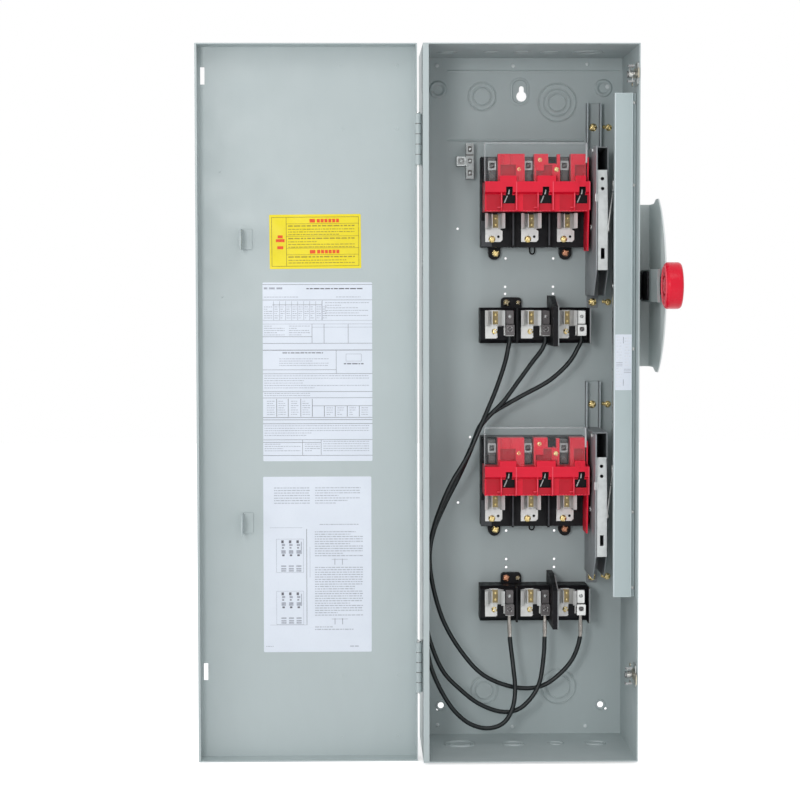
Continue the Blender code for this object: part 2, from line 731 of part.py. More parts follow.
def handle_grip(post):
    """Round red grip: a turned disc with stepped rings in its faces and rounded rims."""
    left = GRIP_X
    right = GRIP_X + GRIP_WIDTH
    rim = GRIP_RADIUS - GRIP_ROUND
    left_rim = arc((rim, left + GRIP_ROUND), GRIP_ROUND, -QUARTER, 0.0, 3)
    right_rim = arc((rim, right - GRIP_ROUND), GRIP_ROUND, 0.0, QUARTER, 3)
    floor = left + GRIP_DISH
    profile = [(0.0, left), (BOSS_RADIUS, left), (BOSS_RADIUS + GRIP_DISH, floor),
               (GRIP_RING, floor), (GRIP_RING + GRIP_DISH, left)]
    profile += left_rim + right_rim
    profile += [(GRIP_RING + GRIP_DISH, right), (GRIP_RING, right - GRIP_DISH), (0.0, right - GRIP_DISH)]
    grip = lathe(profile, "x", (HANDLE_Y - GRIP_REACH, HANDLE_Z), 28)
    finish(grip, "handle_grip", RED, post)


def handle_crank(post):
    """Shaft through the wall with the crank arm and pin that move the rod."""
    eye = (HANDLE_Y - CRANK_RADIUS, HANDLE_Z)
    arm = prism(slot_outline((HANDLE_Y, HANDLE_Z), eye, CRANK_EYE_RADIUS, 8),
                "x", CRANK_X, CRANK_X + CRANK_PLATE)
    shaft = rod("x", (HANDLE_Y, HANDLE_Z), SHAFT_RADIUS, CRANK_X + CRANK_PLATE / 2, LEVER_X - FIT)
    pin = rod("x", eye, CRANK_PIN_RADIUS, ROD_X - LINK_PLATE, CRANK_X + CRANK_PLATE / 2)
    unite(arm, shaft, pin)
    finish(arm, "handle_crank", PLATED, post)


def drive_rod(post):
    """Flat bar that slides up and down beside the right wall, slotted for the crank pin."""
    middle = HANDLE_Y - CRANK_RADIUS
    high = ROTOR_Z["upper"] - ARM_PIVOT_DROP - LINK_LOW_DROP + LINK_RISE + ROD_END
    low = ROTOR_Z["lower"] - ARM_PIVOT_DROP - LINK_LOW_DROP + LINK_RISE - ROD_END
    outline = rounded([(middle - ROD_WIDTH / 2, low), (middle + ROD_WIDTH / 2, low),
                       (middle + ROD_WIDTH / 2, high), (middle - ROD_WIDTH / 2, high)], ROD_CORNER)
    bar = prism(outline, "x", ROD_X, ROD_X + ROD_PLATE)
    slot_radius = CRANK_PIN_RADIUS + ROD_SLOT_CLEAR
    slot = slot_outline((middle, HANDLE_Z), (middle + ROD_SLOT, HANDLE_Z), slot_radius, 8)
    cut(bar, prism(slot, "x", ROD_X - ROD_PLATE, ROD_X + 2 * ROD_PLATE))
    finish(bar, "drive_rod", PLATED, post)


def drive_link(suffix, post):
    """Jogged flat link between the rod and an arm."""
    low_z = ROTOR_Z[suffix] - ARM_PIVOT_DROP - LINK_LOW_DROP
    high_z = low_z + LINK_RISE
    high_y = HANDLE_Y - CRANK_RADIUS
    front = [(LINK_LOW_X, low_z - LINK_WIDTH / 2), (LINK_LOW_X + LINK_PLATE, low_z - LINK_WIDTH / 2),
             (LINK_LOW_X + LINK_PLATE, low_z + LINK_WIDTH / 2),
             (LINK_HIGH_X + LINK_PLATE, high_z - LINK_WIDTH),
             (LINK_HIGH_X + LINK_PLATE, high_z + LINK_WIDTH / 2), (LINK_HIGH_X, high_z + LINK_WIDTH / 2),
             (LINK_HIGH_X, high_z - LINK_WIDTH), (LINK_LOW_X, low_z + LINK_WIDTH / 2)]
    link = prism(front, "y", LINK_LOW_Y - LINK_WIDTH, high_y + LINK_WIDTH)
    band = slot_outline((LINK_LOW_Y, low_z), (high_y, high_z), LINK_WIDTH / 2, 6)
    keep = prism(band, "x", LINK_LOW_X - LINK_PLATE, LINK_HIGH_X + 2 * LINK_PLATE)
    boolean(link, (keep,), "INTERSECT")
    face = LINK_LOW_X + LINK_PLATE
    unite(link, rod("x", (LINK_LOW_Y, low_z), LINK_RIVET_RADIUS, face - LINK_RIVET, face + LINK_RIVET))
    finish(link, "drive_link_" + suffix, PLATED, post)


def drive_arm(suffix):
    """Channel-shaped arm: a bent strip in front, two cheeks back to a pivot pin, a block below."""
    axis_z = ROTOR_Z[suffix] - ARM_PIVOT_DROP
    right = ARM_LEFT + ARM_WIDTH
    low = axis_z - ARM_BELOW
    high = axis_z + ARM_ABOVE
    crease = axis_z + ARM_CREASE
    back = ARM_FRONT_Y + ARM_SHEET
    side = [(ARM_FRONT_Y, low), (back, low), (back, crease), (back + ARM_LEAN, high),
            (ARM_FRONT_Y + ARM_LEAN, high), (ARM_FRONT_Y, crease)]
    arm = prism(side, "x", ARM_LEFT, right)
    inside = ARM_FRONT_Y + ARM_SHEET / 2
    cheek = [(inside, axis_z - ARM_CREASE)]
    cheek += arc((ARM_PIVOT_Y, axis_z), ARM_HUB_RADIUS, -QUARTER, QUARTER, 6)
    cheek += [(inside, axis_z + ARM_CHEEK_RISE)]
    pin = rod("x", (ARM_PIVOT_Y, axis_z), ARM_PIN_RADIUS, FRAME_LEFT, FRAME_LEFT + FRAME_WIDTH)
    heel_top = low + ARM_HEEL
    heel = block((ARM_LEFT, right), (inside, ARM_FRONT_Y + ARM_HEEL_DEPTH), (low, heel_top))
    unite(arm, prism(cheek, "x", ARM_LEFT, ARM_LEFT + ARM_SHEET),
          prism(cheek, "x", right - ARM_SHEET, right), pin, heel)
    middle = (ARM_LEFT + right) / 2
    front = ARM_FRONT_Y - ARM_SHEET
    holes = [rod("y", (middle, high - drop), ARM_HOLE_RADIUS, front, inside + ARM_LEAN + ARM_SHEET)
             for drop in ARM_HOLES]
    holes.append(block((middle - ARM_SLOT_WIDTH / 2, middle + ARM_SLOT_WIDTH / 2), (front, back + ARM_SHEET),
                       (heel_top + ARM_SLOT[0], heel_top + ARM_SLOT[1])))
    cut(arm, *holes)
    post = pivot("arm_pivot_" + suffix, (middle, ARM_PIVOT_Y, axis_z))
    finish(arm, "drive_arm_" + suffix, PLATED, post)


def mechanism_frame(suffix):
    """U-channel on the back panel whose deep middle, round the arm, is closed by a lid."""
    z = ROTOR_Z[suffix]
    top = z + FRAME_TOP
    bottom = z - FRAME_BOTTOM
    lid = z + FRAME_LID
    right = FRAME_LEFT + FRAME_WIDTH

    def flange(depth):
        low_y = BACK_Y - FRAME_LOW
        deep_y = BACK_Y - depth
        corner = arc((deep_y + FRAME_CORNER, lid - FRAME_CORNER), FRAME_CORNER, QUARTER, math.pi, 4)
        return [(BACK_Y, bottom), (BACK_Y, top), (low_y, top), (low_y, lid)] + corner + \
               [(deep_y, bottom + FRAME_FOOT), (deep_y + FRAME_FOOT, bottom)]

    body = block((FRAME_LEFT, right), (BACK_Y - FRAME_PLATE, BACK_Y), (bottom, top))
    half = FRAME_PLATE / 2
    roof = lid - FRAME_LID_DROP
    unite(body, prism(flange(FRAME_LEFT_DEPTH), "x", FRAME_LEFT, FRAME_LEFT + FRAME_PLATE),
          prism(flange(FRAME_RIGHT_DEPTH), "x", right - FRAME_PLATE, right),
          block((FRAME_LEFT + half, right - half),
                (BACK_Y - FRAME_RIGHT_DEPTH + FRAME_CORNER, BACK_Y - half), (roof - FRAME_PLATE, roof)))
    axis_z = z - ARM_PIVOT_DROP
    cut(body, rod("x", (ARM_PIVOT_Y, axis_z), ARM_PIN_RADIUS + FIT, FRAME_LEFT - FRAME_PLATE,
                  right + FRAME_PLATE))
    finish(body, "mechanism_frame_" + suffix, DARK_PAINT)


def mechanism_cover():
    """Long folded cover in front of the rod, stepped back to a leg along the right wall."""
    wall = INNER_X - FIT
    sheet = COVER_SHEET
    step_y = COVER_Y + COVER_STEP
    profile = [(COVER_LEFT, COVER_Y), (COVER_RIGHT, COVER_Y), (COVER_RIGHT, step_y), (wall, step_y),
               (wall, step_y + COVER_LEG), (wall - sheet, step_y + COVER_LEG), (wall - sheet, step_y + sheet),
               (COVER_RIGHT - sheet, step_y + sheet), (COVER_RIGHT - sheet, COVER_Y + sheet),
               (COVER_LEFT + sheet, COVER_Y + sheet), (COVER_LEFT + sheet, COVER_Y + COVER_LEG),
               (COVER_LEFT, COVER_Y + COVER_LEG)]
    cover = prism(profile, "z", ROTOR_Z["lower"] - COVER_BELOW, ROTOR_Z["upper"] + COVER_ABOVE)
    finish(cover, "mechanism_cover", COVER_PAINT)


# ---------------------------------------------------------------- switches
def pole_x(pole):
    return POLE_X + POLE_PITCH * pole


def switch_base(suffix):
    """Black moulding: a side profile with a round trough for the rotor, cheeks, barriers and ears."""
    z = ROTOR_Z[suffix]
    half = math.acos((BASE_FRONT - ROTOR_Y) / TROUGH_RADIUS)
    trough = arc((ROTOR_Y, z), TROUGH_RADIUS, -half, half, 8)
    side = [(BACK_Y, z - BASE_BOTTOM), (BASE_FRONT, z - BASE_BOTTOM)] + trough
    side += [(BASE_FRONT, z + LUG_HIGH), (BASE_TOP_FRONT, z + BASE_TOP), (BACK_Y, z + BASE_TOP)]
    base = prism(side, "x", BASE_LEFT, BASE_RIGHT)
    adds = []
    cheek_ends = ((BASE_LEFT + CHEEK_INSET, BASE_LEFT + CHEEK_INSET + CHEEK),
                  (BASE_RIGHT - CHEEK_INSET - CHEEK, BASE_RIGHT - CHEEK_INSET))
    for ends in cheek_ends:
        outline = arc((ROTOR_Y, z), CHEEK_RADIUS, QUARTER, 3 * QUARTER, 8)
        outline += [(CHEEK_BACK, z - CHEEK_RADIUS), (CHEEK_BACK, z + CHEEK_RADIUS)]
        adds.append(prism(outline, "x", *ends))
    for pole in range(POLES - 1):
        left = pole_x(pole) + BARRIER_OFFSET - BARRIER / 2
        front = BASE_FRONT - BARRIER_REACH
        for low, high in ((-BASE_BOTTOM, -HOOD_BOTTOM - 2 * FIT), (LUG_LOW, LUG_HIGH - FIT)):
            adds.append(block((left, left + BARRIER), (front, BARRIER_BACK), (z + low, z + high)))
    for pole in (0, POLES - 1):
        centre = (pole_x(pole) + BARRIER, z - EAR_DROP)
        outline = arc(centre, EAR_RADIUS, math.pi, 2 * math.pi, 8)
        lap = z - BASE_BOTTOM + EAR_LAP
        outline += [(centre[0] + EAR_RADIUS, lap), (centre[0] - EAR_RADIUS, lap)]
        adds.append(prism(outline, "y", EAR_FRONT, BACK_Y))
    unite(base, *adds)
    cut(base, *[rod("x", (ROTOR_Y, z), JOURNAL_RADIUS + FIT, ends[0] - FIT, ends[1] + FIT)
                for ends in cheek_ends])
    finish(base, "switch_base_" + suffix, PHENOLIC)


def rotor(suffix):
    """Insulated crossbar with a collar and a blade for each pole, thrown open."""
    z = ROTOR_Z[suffix]
    axis = (ROTOR_Y, z)
    left = BASE_LEFT + CHEEK_INSET + CHEEK + FIT
    right = BASE_RIGHT - CHEEK_INSET - CHEEK - FIT
    bar = rod("x", axis, ROTOR_RADIUS, left, right)
    adds = [rod("x", axis, JOURNAL_RADIUS, HOOD_LEFT + WALL + FIT, FRAME_LEFT - FIT)]
    for pole in range(POLES):
        middle = pole_x(pole) + BLADE_OFFSET
        adds.append(rod("x", axis, COLLAR_RADIUS, middle - COLLAR_WIDTH / 2, middle + COLLAR_WIDTH / 2))
        tip = BLADE_REACH - BLADE_WIDTH / 2
        outline = slot_outline(axis, (ROTOR_Y, z + tip), BLADE_WIDTH / 2, 6)
        adds.append(prism(outline, "x", middle - BLADE / 2, middle + BLADE / 2))
    unite(bar, *adds)
    turned(bar, "x", (0.0, ROTOR_Y, z), BLADE_OPEN)
    post = pivot("rotor_pivot_" + suffix, (0.0, ROTOR_Y, z))
    finish(bar, "rotor_" + suffix, COPPER, post)


def red_shield(suffix):
    """Thin moulded hood over the blades, with a stepped front, three towers and keyhole windows."""
    z = ROTOR_Z[suffix]
    recess = HOOD_FRONT + HOOD_RECESS
    outer = [(HOOD_BACK, z - HOOD_BOTTOM), (recess, z - HOOD_BOTTOM), (recess, z + HOOD_STEP),
             (HOOD_FRONT, z + HOOD_STEP + HOOD_SLOPE), (HOOD_FRONT, z + HOOD_TOP), (HOOD_BACK, z + HOOD_TOP)]
    inner = [(HOOD_BACK, z + HOOD_TOP - WALL), (HOOD_FRONT + WALL, z + HOOD_TOP - WALL),
             (HOOD_FRONT + WALL, z + HOOD_STEP + HOOD_SLOPE + WALL), (recess + WALL, z + HOOD_STEP + WALL),
             (recess + WALL, z - HOOD_BOTTOM + WALL), (HOOD_BACK, z - HOOD_BOTTOM + WALL)]
    hood = prism(outer + inner, "x", HOOD_LEFT, HOOD_RIGHT)
    adds = []
    end = outer[1:5] + [(SEAT_Y, z + HOOD_TOP), (SEAT_Y, z - HOOD_BOTTOM)]
    adds.append(prism(end, "x", HOOD_LEFT, HOOD_LEFT + WALL))
    side = [(SEAT_Y, z - SIDE_BOTTOM), (recess + HOOD_RECESS, z - SIDE_BOTTOM), (recess, z - HOOD_BOTTOM)]
    side += [(recess, z + HOOD_STEP), (HOOD_FRONT, z + HOOD_STEP + HOOD_SLOPE), (HOOD_FRONT, z + HOOD_TOP),
             (TOWER_FRONT, z + HOOD_TOP + WALL), (TOWER_FRONT, z + SIDE_TOP), (SEAT_Y, z + SIDE_TOP)]
    adds.append(prism(side, "x", HOOD_RIGHT - WALL, HOOD_RIGHT))
    hollows = []
    for pole in range(POLES):
        left = pole_x(pole) + TOWER_LEFT
        right = left + TOWER_WIDTHS[pole]
        top = z + TOWER_TOP
        shape = [(HOOD_BACK, z + HOOD_TOP - WALL), (TOWER_FRONT - WALL, z + HOOD_TOP - WALL),
                 (TOWER_FRONT, top - TOWER_SLOPE), (TOWER_FRONT + WALL, top), (HOOD_BACK, top)]
        adds.append(prism(shape, "x", left, right))
        bore = [(SEAT_Y, z + HOOD_STEP), (TOWER_FRONT + WALL, z + HOOD_STEP),
                (TOWER_FRONT + 2 * WALL, top - WALL), (SEAT_Y, top - WALL)]
        hollows.append(prism(bore, "x", left + WALL, right - WALL))
    for pole in range(POLES):
        for x in (pole_x(pole) + RIB_OFFSET, pole_x(pole) + BARRIER_OFFSET):
            if x < HOOD_RIGHT - WALL:
                adds.append(block((x, x + RIB), (HOOD_FRONT + RIB, recess + WALL / 2),
                                  (z - HOOD_BOTTOM, z + HOOD_STEP + HOOD_SLOPE)))
    unite(hood, *adds)
    for pole in range(POLES):
        middle = pole_x(pole) + BLADE_OFFSET
        key = [(middle - KEY_WIDE / 2, z - KEY_BOTTOM), (middle + KEY_WIDE / 2, z - KEY_BOTTOM),
               (middle + KEY_WIDE / 2, z + KEY_STEP), (middle + KEY_NARROW / 2, z + KEY_STEP),
               (middle + KEY_NARROW / 2, z + KEY_TOP), (middle - KEY_NARROW / 2, z + KEY_TOP),
               (middle - KEY_NARROW / 2, z + KEY_STEP), (middle - KEY_WIDE / 2, z + KEY_STEP)]
        hollows.append(prism(key, "y", HOOD_FRONT - WALL, recess + 2 * WALL))
    hollows.append(rod("x", (ROTOR_Y, z), JOURNAL_RADIUS + 2 * FIT, HOOD_RIGHT - 2 * WALL, HOOD_RIGHT + WALL))
    cut(hood, *hollows)
    finish(hood, "red_shield_" + suffix, RED)


def clear_shield(suffix):
    """Clear plastic box-shaped guard over the line lugs, open below and behind."""
    z = ROTOR_Z[suffix]
    low = z + HOOD_TOP + FIT
    high = z + CLEAR_TOP
    top = high - CLEAR_SHEET
    shell = block((HOOD_LEFT, CLEAR_RIGHT), (CLEAR_FRONT, SEAT_Y), (low, high))
    hollow = block((HOOD_LEFT + CLEAR_SHEET, CLEAR_RIGHT - CLEAR_SHEET),
                   (CLEAR_FRONT + CLEAR_SHEET, 0.0), (low - CLEAR_SHEET, top))
    cut(shell, hollow)
    finish(shell, "line_shield_" + suffix, CLEAR)


def line_lug(suffix, pole):
    """Terminal block with a wire hole, a strap and the pair of jaws that a blade closes into."""
    z = ROTOR_Z[suffix]
    middle = pole_x(pole) + LUG_OFFSET
    blade = pole_x(pole) + BLADE_OFFSET
    left = middle - LUG_WIDTH / 2
    lug = block((left, left + LUG_WIDTH), (SEAT_Y - LUG_DEPTH, SEAT_Y), (z + LUG_LOW, z + LUG_HIGH))
    inner = BLADE / 2 + JAW_PLAY
    strap = block((left + STRAP, blade + inner + JAW), (SEAT_Y - STRAP, SEAT_Y),
                  (z + LUG_LOW + FIT, z + STRAP_HIGH))
    jaws = [block((blade + side, blade + side + JAW), (SEAT_Y - JAW_DEPTH, SEAT_Y - STRAP / 2),
                  (z + JAW_LOW, z + JAW_HIGH)) for side in (-inner - JAW, inner)]
    unite(lug, strap, *jaws)
    cut(lug, rod("z", (middle, SEAT_Y - LUG_DEPTH / 2), WIRE_RADIUS, z + LUG_LOW + STRAP,
                 z + LUG_HIGH + STRAP))
    finish(lug, "line_lug_%s_%d" % (suffix, pole + 1), PLATED)


def clip_outline(x):
    """Sheet spring of even thickness: a flat seat, two round cheeks and turned-out lips."""
    centre_y = SEAT_Y - CLIP_STEM - CLIP_RADIUS

    def side(radius):
        curve = arc((x, centre_y), radius, CLIP_START, CLIP_OPEN - QUARTER, 6)
        last = curve[-1]
        return curve + [(last[0] + CLIP_FLARE, last[1] - CLIP_LIP)]

    outer = side(CLIP_RADIUS + CLIP_SHEET)
    inner = side(CLIP_RADIUS)
    seat = [(outer[0][0], SEAT_Y)]
    floor = [(inner[0][0], SEAT_Y - CLIP_SHEET)]
    right = seat + outer + inner[::-1] + floor
    left = [(2 * x - a, b) for a, b in reversed(right)]
    return right + left


def fuse_clip(suffix, pole, load):
    """Spring clip with a screwed tongue; the load one also carries the cable lug."""
    z = ROTOR_Z[suffix] + CLIP_Z - (FUSE_LENGTH if load else 0.0)
    x = pole_x(pole)
    half = CLIP_LENGTH / 2
    clip = prism(clip_outline(x), "z", z - half, z + half)
    low = z - half
    tongue_low = low - TONGUE_LENGTH
    corner = TONGUE_CORNER
    left = x - TONGUE_WIDTH / 2
    right = left + (LOAD_TONGUE_WIDTH if load else TONGUE_WIDTH)
    plate = [(left, tongue_low), (right - corner, tongue_low), (right, tongue_low + corner),
             (right, low - corner), (right - corner, low - corner / 2), (right - corner, low + corner),
             (left, low + corner)]
    adds = [prism(plate, "y", SEAT_Y - CLIP_SHEET, SEAT_Y)]
    if load:
        lug_x = x + LOAD_LUG_OFFSET
        lug = (lug_x - LOAD_LUG_WIDTH / 2, lug_x + LOAD_LUG_WIDTH / 2)
        lug_low = z - LOAD_LUG_LOW
        adds.append(block((x, lug[1] - FIT), (SEAT_Y - STRAP, SEAT_Y - FIT), (lug_low + FIT, low - FIT)))
        adds.append(block(lug, (SEAT_Y - LOAD_LUG_DEPTH, SEAT_Y), (lug_low, z - LOAD_LUG_HIGH)))
    unite(clip, *adds)
    if not load:
        hole = (x + TONGUE_HOLE_X, tongue_low + TONGUE_HOLE_RISE)
        cut(clip, rod("y", hole, TONGUE_HOLE, SEAT_Y - STRAP, SEAT_Y + STRAP))
    name = "load_clip_" if load else "line_clip_"
    finish(clip, "%s%s_%d" % (name, suffix, pole + 1), PLATED)


def load_base(suffix):
    """Black moulding under the load clips, with barriers and a screwed tab."""
    z = ROTOR_Z[suffix] + CLIP_Z - FUSE_LENGTH
    top = z + LOAD_ABOVE
    bottom = z - LOAD_BELOW
    side = [(BACK_Y, bottom), (BASE_FRONT + LOAD_EDGE, bottom), (BASE_FRONT, bottom + LOAD_EDGE),
            (BASE_FRONT, top - LOAD_EDGE), (BASE_FRONT + LOAD_EDGE, top), (BACK_Y, top)]
    base = prism(side, "x", LOAD_LEFT, LOAD_RIGHT)
    tab_right = TAB_LEFT + TAB_WIDTH
    tab = [(TAB_LEFT, top - TAB_RISE), (tab_right, top - TAB_RISE), (tab_right, top + TAB_RISE),
           (TAB_LEFT, top + TAB_RISE)]
    adds = [prism(rounded(tab, TAB_CORNER), "y", EAR_FRONT, BACK_Y)]
    tall = pole_x(1) + TALL_BARRIER_OFFSET
    tall_low = z - TALL_BARRIER_BELOW
    tall_high = z + TALL_BARRIER_ABOVE
    fin = [(BACK_Y, tall_low), (TALL_BARRIER_FRONT, tall_low),
           (TALL_BARRIER_FRONT, z + TALL_BARRIER_SHOULDER), (TALL_BARRIER_TOP_FRONT, tall_high),
           (BACK_Y, tall_high)]
    adds.append(prism(fin, "x", tall - TALL_BARRIER / 2, tall + TALL_BARRIER / 2))
    low = pole_x(0) + TALL_BARRIER_OFFSET
    heights = (bottom + FIT, top - FIT)
    adds.append(block((low - BARRIER / 2, low + BARRIER / 2),
                      (BASE_FRONT - BARRIER_REACH, BARRIER_BACK), heights))
    adds.append(block((LOAD_RIGHT - END_BARRIER, LOAD_RIGHT + FIT),
                      (BASE_FRONT - END_BARRIER_REACH, BARRIER_BACK), heights))
    unite(base, *adds)
    finish(base, "load_base_" + suffix, PHENOLIC)


def ground_lug():
    """Ground bar with a side lug, screwed to the back panel at the upper left."""
    z = ROTOR_Z["upper"] + GROUND_RISE
    left = GROUND_X - GROUND_WIDTH / 2
    bar = block((left, left + GROUND_WIDTH), (BACK_Y - GROUND_DEPTH, BACK_Y),
                (z - GROUND_HALF, z + GROUND_HALF))
    side_left = left - GROUND_SIDE
    side = block((side_left, GROUND_X), (BACK_Y - GROUND_SIDE_DEPTH, BACK_Y),
                 (z - GROUND_SIDE / 2, z + GROUND_SIDE / 2))
    unite(bar, side)
    holes = [rod("x", (BACK_Y - GROUND_DEPTH / 2, z + rise), GROUND_WIRE_RADIUS, side_left,
                 left + GROUND_WIDTH + FIT) for rise in (-GROUND_WIRE_Z, GROUND_WIRE_Z)]
    cut(bar, *holes)
    finish(bar, "ground_lug", PLATED)


# ---------------------------------------------------------------- cables
def lug_mouth(suffix, pole):
    """Where a cable meets the underside of a load lug."""
    z = ROTOR_Z[suffix] + CLIP_Z - FUSE_LENGTH - LOAD_LUG_LOW - FIT
    return (pole_x(pole) + LOAD_LUG_OFFSET, SEAT_Y - LOAD_LUG_MOUTH, z)


CABLE_ROUTES = (
    ((-0.0230, -0.058, 0.0764), (-0.0276, -0.062, 0.0563), (-0.0400, -0.070, 0.0205),
     (-0.0535, -0.079, -0.0108), (-0.0655, -0.084, -0.0379), (-0.0840, -0.084, -0.0796),
     (-0.1054, -0.084, -0.1156), (-0.1213, -0.084, -0.1503), (-0.1328, -0.084, -0.1849),
     (-0.1405, -0.084, -0.2350), (-0.1440, -0.084, -0.2900), (-0.1430, -0.084, -0.3400),
     (-0.1363, -0.084, -0.3825), (-0.1185, -0.084, -0.4234), (-0.0997, -0.084, -0.4505),
     (-0.0779, -0.083, -0.4677), (-0.0532, -0.082, -0.4739), (-0.0314, -0.081, -0.4669),
     (-0.0182, -0.079, -0.4469), (-0.0135, -0.074, -0.4186), (-0.0157, -0.064, -0.3867),
     (-0.0200, -0.058, -0.3467)),
    ((0.0256, -0.058, 0.0734), (0.0131, -0.060, 0.0575), (-0.0105, -0.066, 0.0260),
     (-0.0311, -0.071, -0.0010), (-0.0480, -0.074, -0.0175), (-0.0640, -0.074, -0.0365),
     (-0.0800, -0.074, -0.0720), (-0.0992, -0.074, -0.1137), (-0.1180, -0.074, -0.1513),
     (-0.1325, -0.074, -0.1861), (-0.1400, -0.074, -0.2300), (-0.1438, -0.074, -0.2800),
     (-0.1420, -0.074, -0.3250), (-0.1359, -0.074, -0.3506), (-0.1181, -0.074, -0.3917),
     (-0.0934, -0.073, -0.4183), (-0.0642, -0.072, -0.4407), (-0.0307, -0.071, -0.4522),
     (-0.0087, -0.070, -0.4487), (0.0103, -0.068, -0.4323), (0.0222, -0.065, -0.4117),
     (0.0290, -0.060, -0.3731), (0.0305, -0.058, -0.3470)),
    ((0.0780, -0.058, 0.0762), (0.0690, -0.058, 0.0602), (0.0535, -0.058, 0.0429),
     (0.0336, -0.059, 0.0270), (0.0016, -0.060, 0.0097), (-0.0246, -0.062, -0.0046),
     (-0.0460, -0.063, -0.0175), (-0.0645, -0.064, -0.0365), (-0.0775, -0.064, -0.0711),
     (-0.0943, -0.064, -0.1088), (-0.1146, -0.064, -0.1494), (-0.1306, -0.064, -0.1872),
     (-0.1370, -0.064, -0.2220), (-0.1340, -0.064, -0.2600), (-0.1176, -0.064, -0.3187),
     (-0.0929, -0.064, -0.3621), (-0.0622, -0.062, -0.3971), (-0.0299, -0.060, -0.4138),
     (0.0038, -0.058, -0.4202), (0.0289, -0.056, -0.4163), (0.0523, -0.056, -0.4003),
     (0.0720, -0.056, -0.3768), (0.0820, -0.057, -0.3473)),
)


def smooth_route(points, spacing):
    """Even points along a centripetal curve that passes through the route's points."""
    ghosts = [points[0] * 2 - points[1]] + points + [points[-1] * 2 - points[-2]]
    fine = []
    for index in range(1, len(ghosts) - 2):
        p0, p1, p2, p3 = ghosts[index - 1:index + 3]
        t1 = (p1 - p0).length ** 0.5
        t2 = t1 + (p2 - p1).length ** 0.5
        t3 = t2 + (p3 - p2).length ** 0.5
        for step in range(12):
            t = t1 + (t2 - t1) * step / 12
            a1 = p0.lerp(p1, t / t1)
            a2 = p1.lerp(p2, (t - t1) / (t2 - t1))
            a3 = p2.lerp(p3, (t - t2) / (t3 - t2))
            b1 = a1.lerp(a2, t / t2)
            b2 = a2.lerp(a3, (t - t1) / (t3 - t1))
            fine.append(b1.lerp(b2, (t - t1) / (t2 - t1)))
    fine.append(points[-1])
    lengths = [0.0]
    for before, after in zip(fine, fine[1:]):
        lengths.append(lengths[-1] + (after - before).length)
    count = max(2, round(lengths[-1] / spacing))
    even = []
    at = 0
    for number in range(count + 1):
        goal = lengths[-1] * number / count
        while at < len(fine) - 2 and lengths[at + 1] < goal:
            at += 1
        share = (goal - lengths[at]) / (lengths[at + 1] - lengths[at])
        even.append(fine[at].lerp(fine[at + 1], min(1.0, share)))
    return even


def cable(pole):
    """Black jumper from an upper load lug down the left side and up into the lower one."""
    mouths = [Vector(lug_mouth("upper", pole)), Vector(lug_mouth("lower", pole))]
    leads = [mouth - Vector((0.0, 0.0, CABLE_LEAD)) for mouth in mouths]
    route = [leads[0]] + [Vector(point) for point in CABLE_ROUTES[pole]] + [leads[1]]
    points = [mouths[0]] + smooth_route(route, CABLE_STEP) + [mouths[1]]
    data = bpy.data.curves.new("cable", "CURVE")
    data.dimensions = "3D"
    data.bevel_depth = CABLE_RADIUS
    data.bevel_resolution = 2
    data.use_fill_caps = True
    spline = data.splines.new("POLY")
    spline.points.add(len(points) - 1)
    for target, point in zip(spline.points, points):
        target.co = (*point, 1.0)
    thing = bpy.data.objects.new("cable_%d" % (pole + 1), data)
    bpy.context.scene.collection.objects.link(thing)
    data.materials.append(material(thing.name, *RUBBER))


# ---------------------------------------------------------------- assembly
def build():
    for thing in list(bpy.data.objects):
        bpy.data.objects.remove(thing)
    enclosure()
    door_pivot = pivot("door_pivot", (HINGE_X, HINGE_Y, 0.0))
    door(door_pivot)
    for suffix in ROTOR_Z:
        interlock_hook(suffix, HOOK_Z[suffix], door_pivot)
        hinge(suffix, HINGE_Z[suffix], door_pivot)
        latch(suffix, LATCH_Z[suffix])
    handle_guard()
    handle_hub()
    handle_pivot = pivot("handle_pivot", (LEVER_X, HANDLE_Y, HANDLE_Z))
    handle_lever(handle_pivot)
    handle_grip(handle_pivot)
    handle_crank(handle_pivot)
    rod_slide = pivot("rod_slide", (ROD_X, HANDLE_Y - CRANK_RADIUS, HANDLE_Z))
    drive_rod(rod_slide)
    mechanism_cover()
    for suffix in ROTOR_Z:
        drive_link(suffix, rod_slide)
        drive_arm(suffix)
        mechanism_frame(suffix)
        switch_base(suffix)
        rotor(suffix)
        red_shield(suffix)
        clear_shield(suffix)
        load_base(suffix)
        for pole in range(POLES):
            line_lug(suffix, pole)
            fuse_clip(suffix, pole, load=False)
            fuse_clip(suffix, pole, load=True)
    ground_lug()
    for pole in range(POLES):
        cable(pole)


build()
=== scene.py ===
"""Studio scene and surfaces for a double-throw fusible safety switch."""
import json
import math
import random
from collections import namedtuple

import bmesh
import bpy
from mathutils import Matrix, Vector


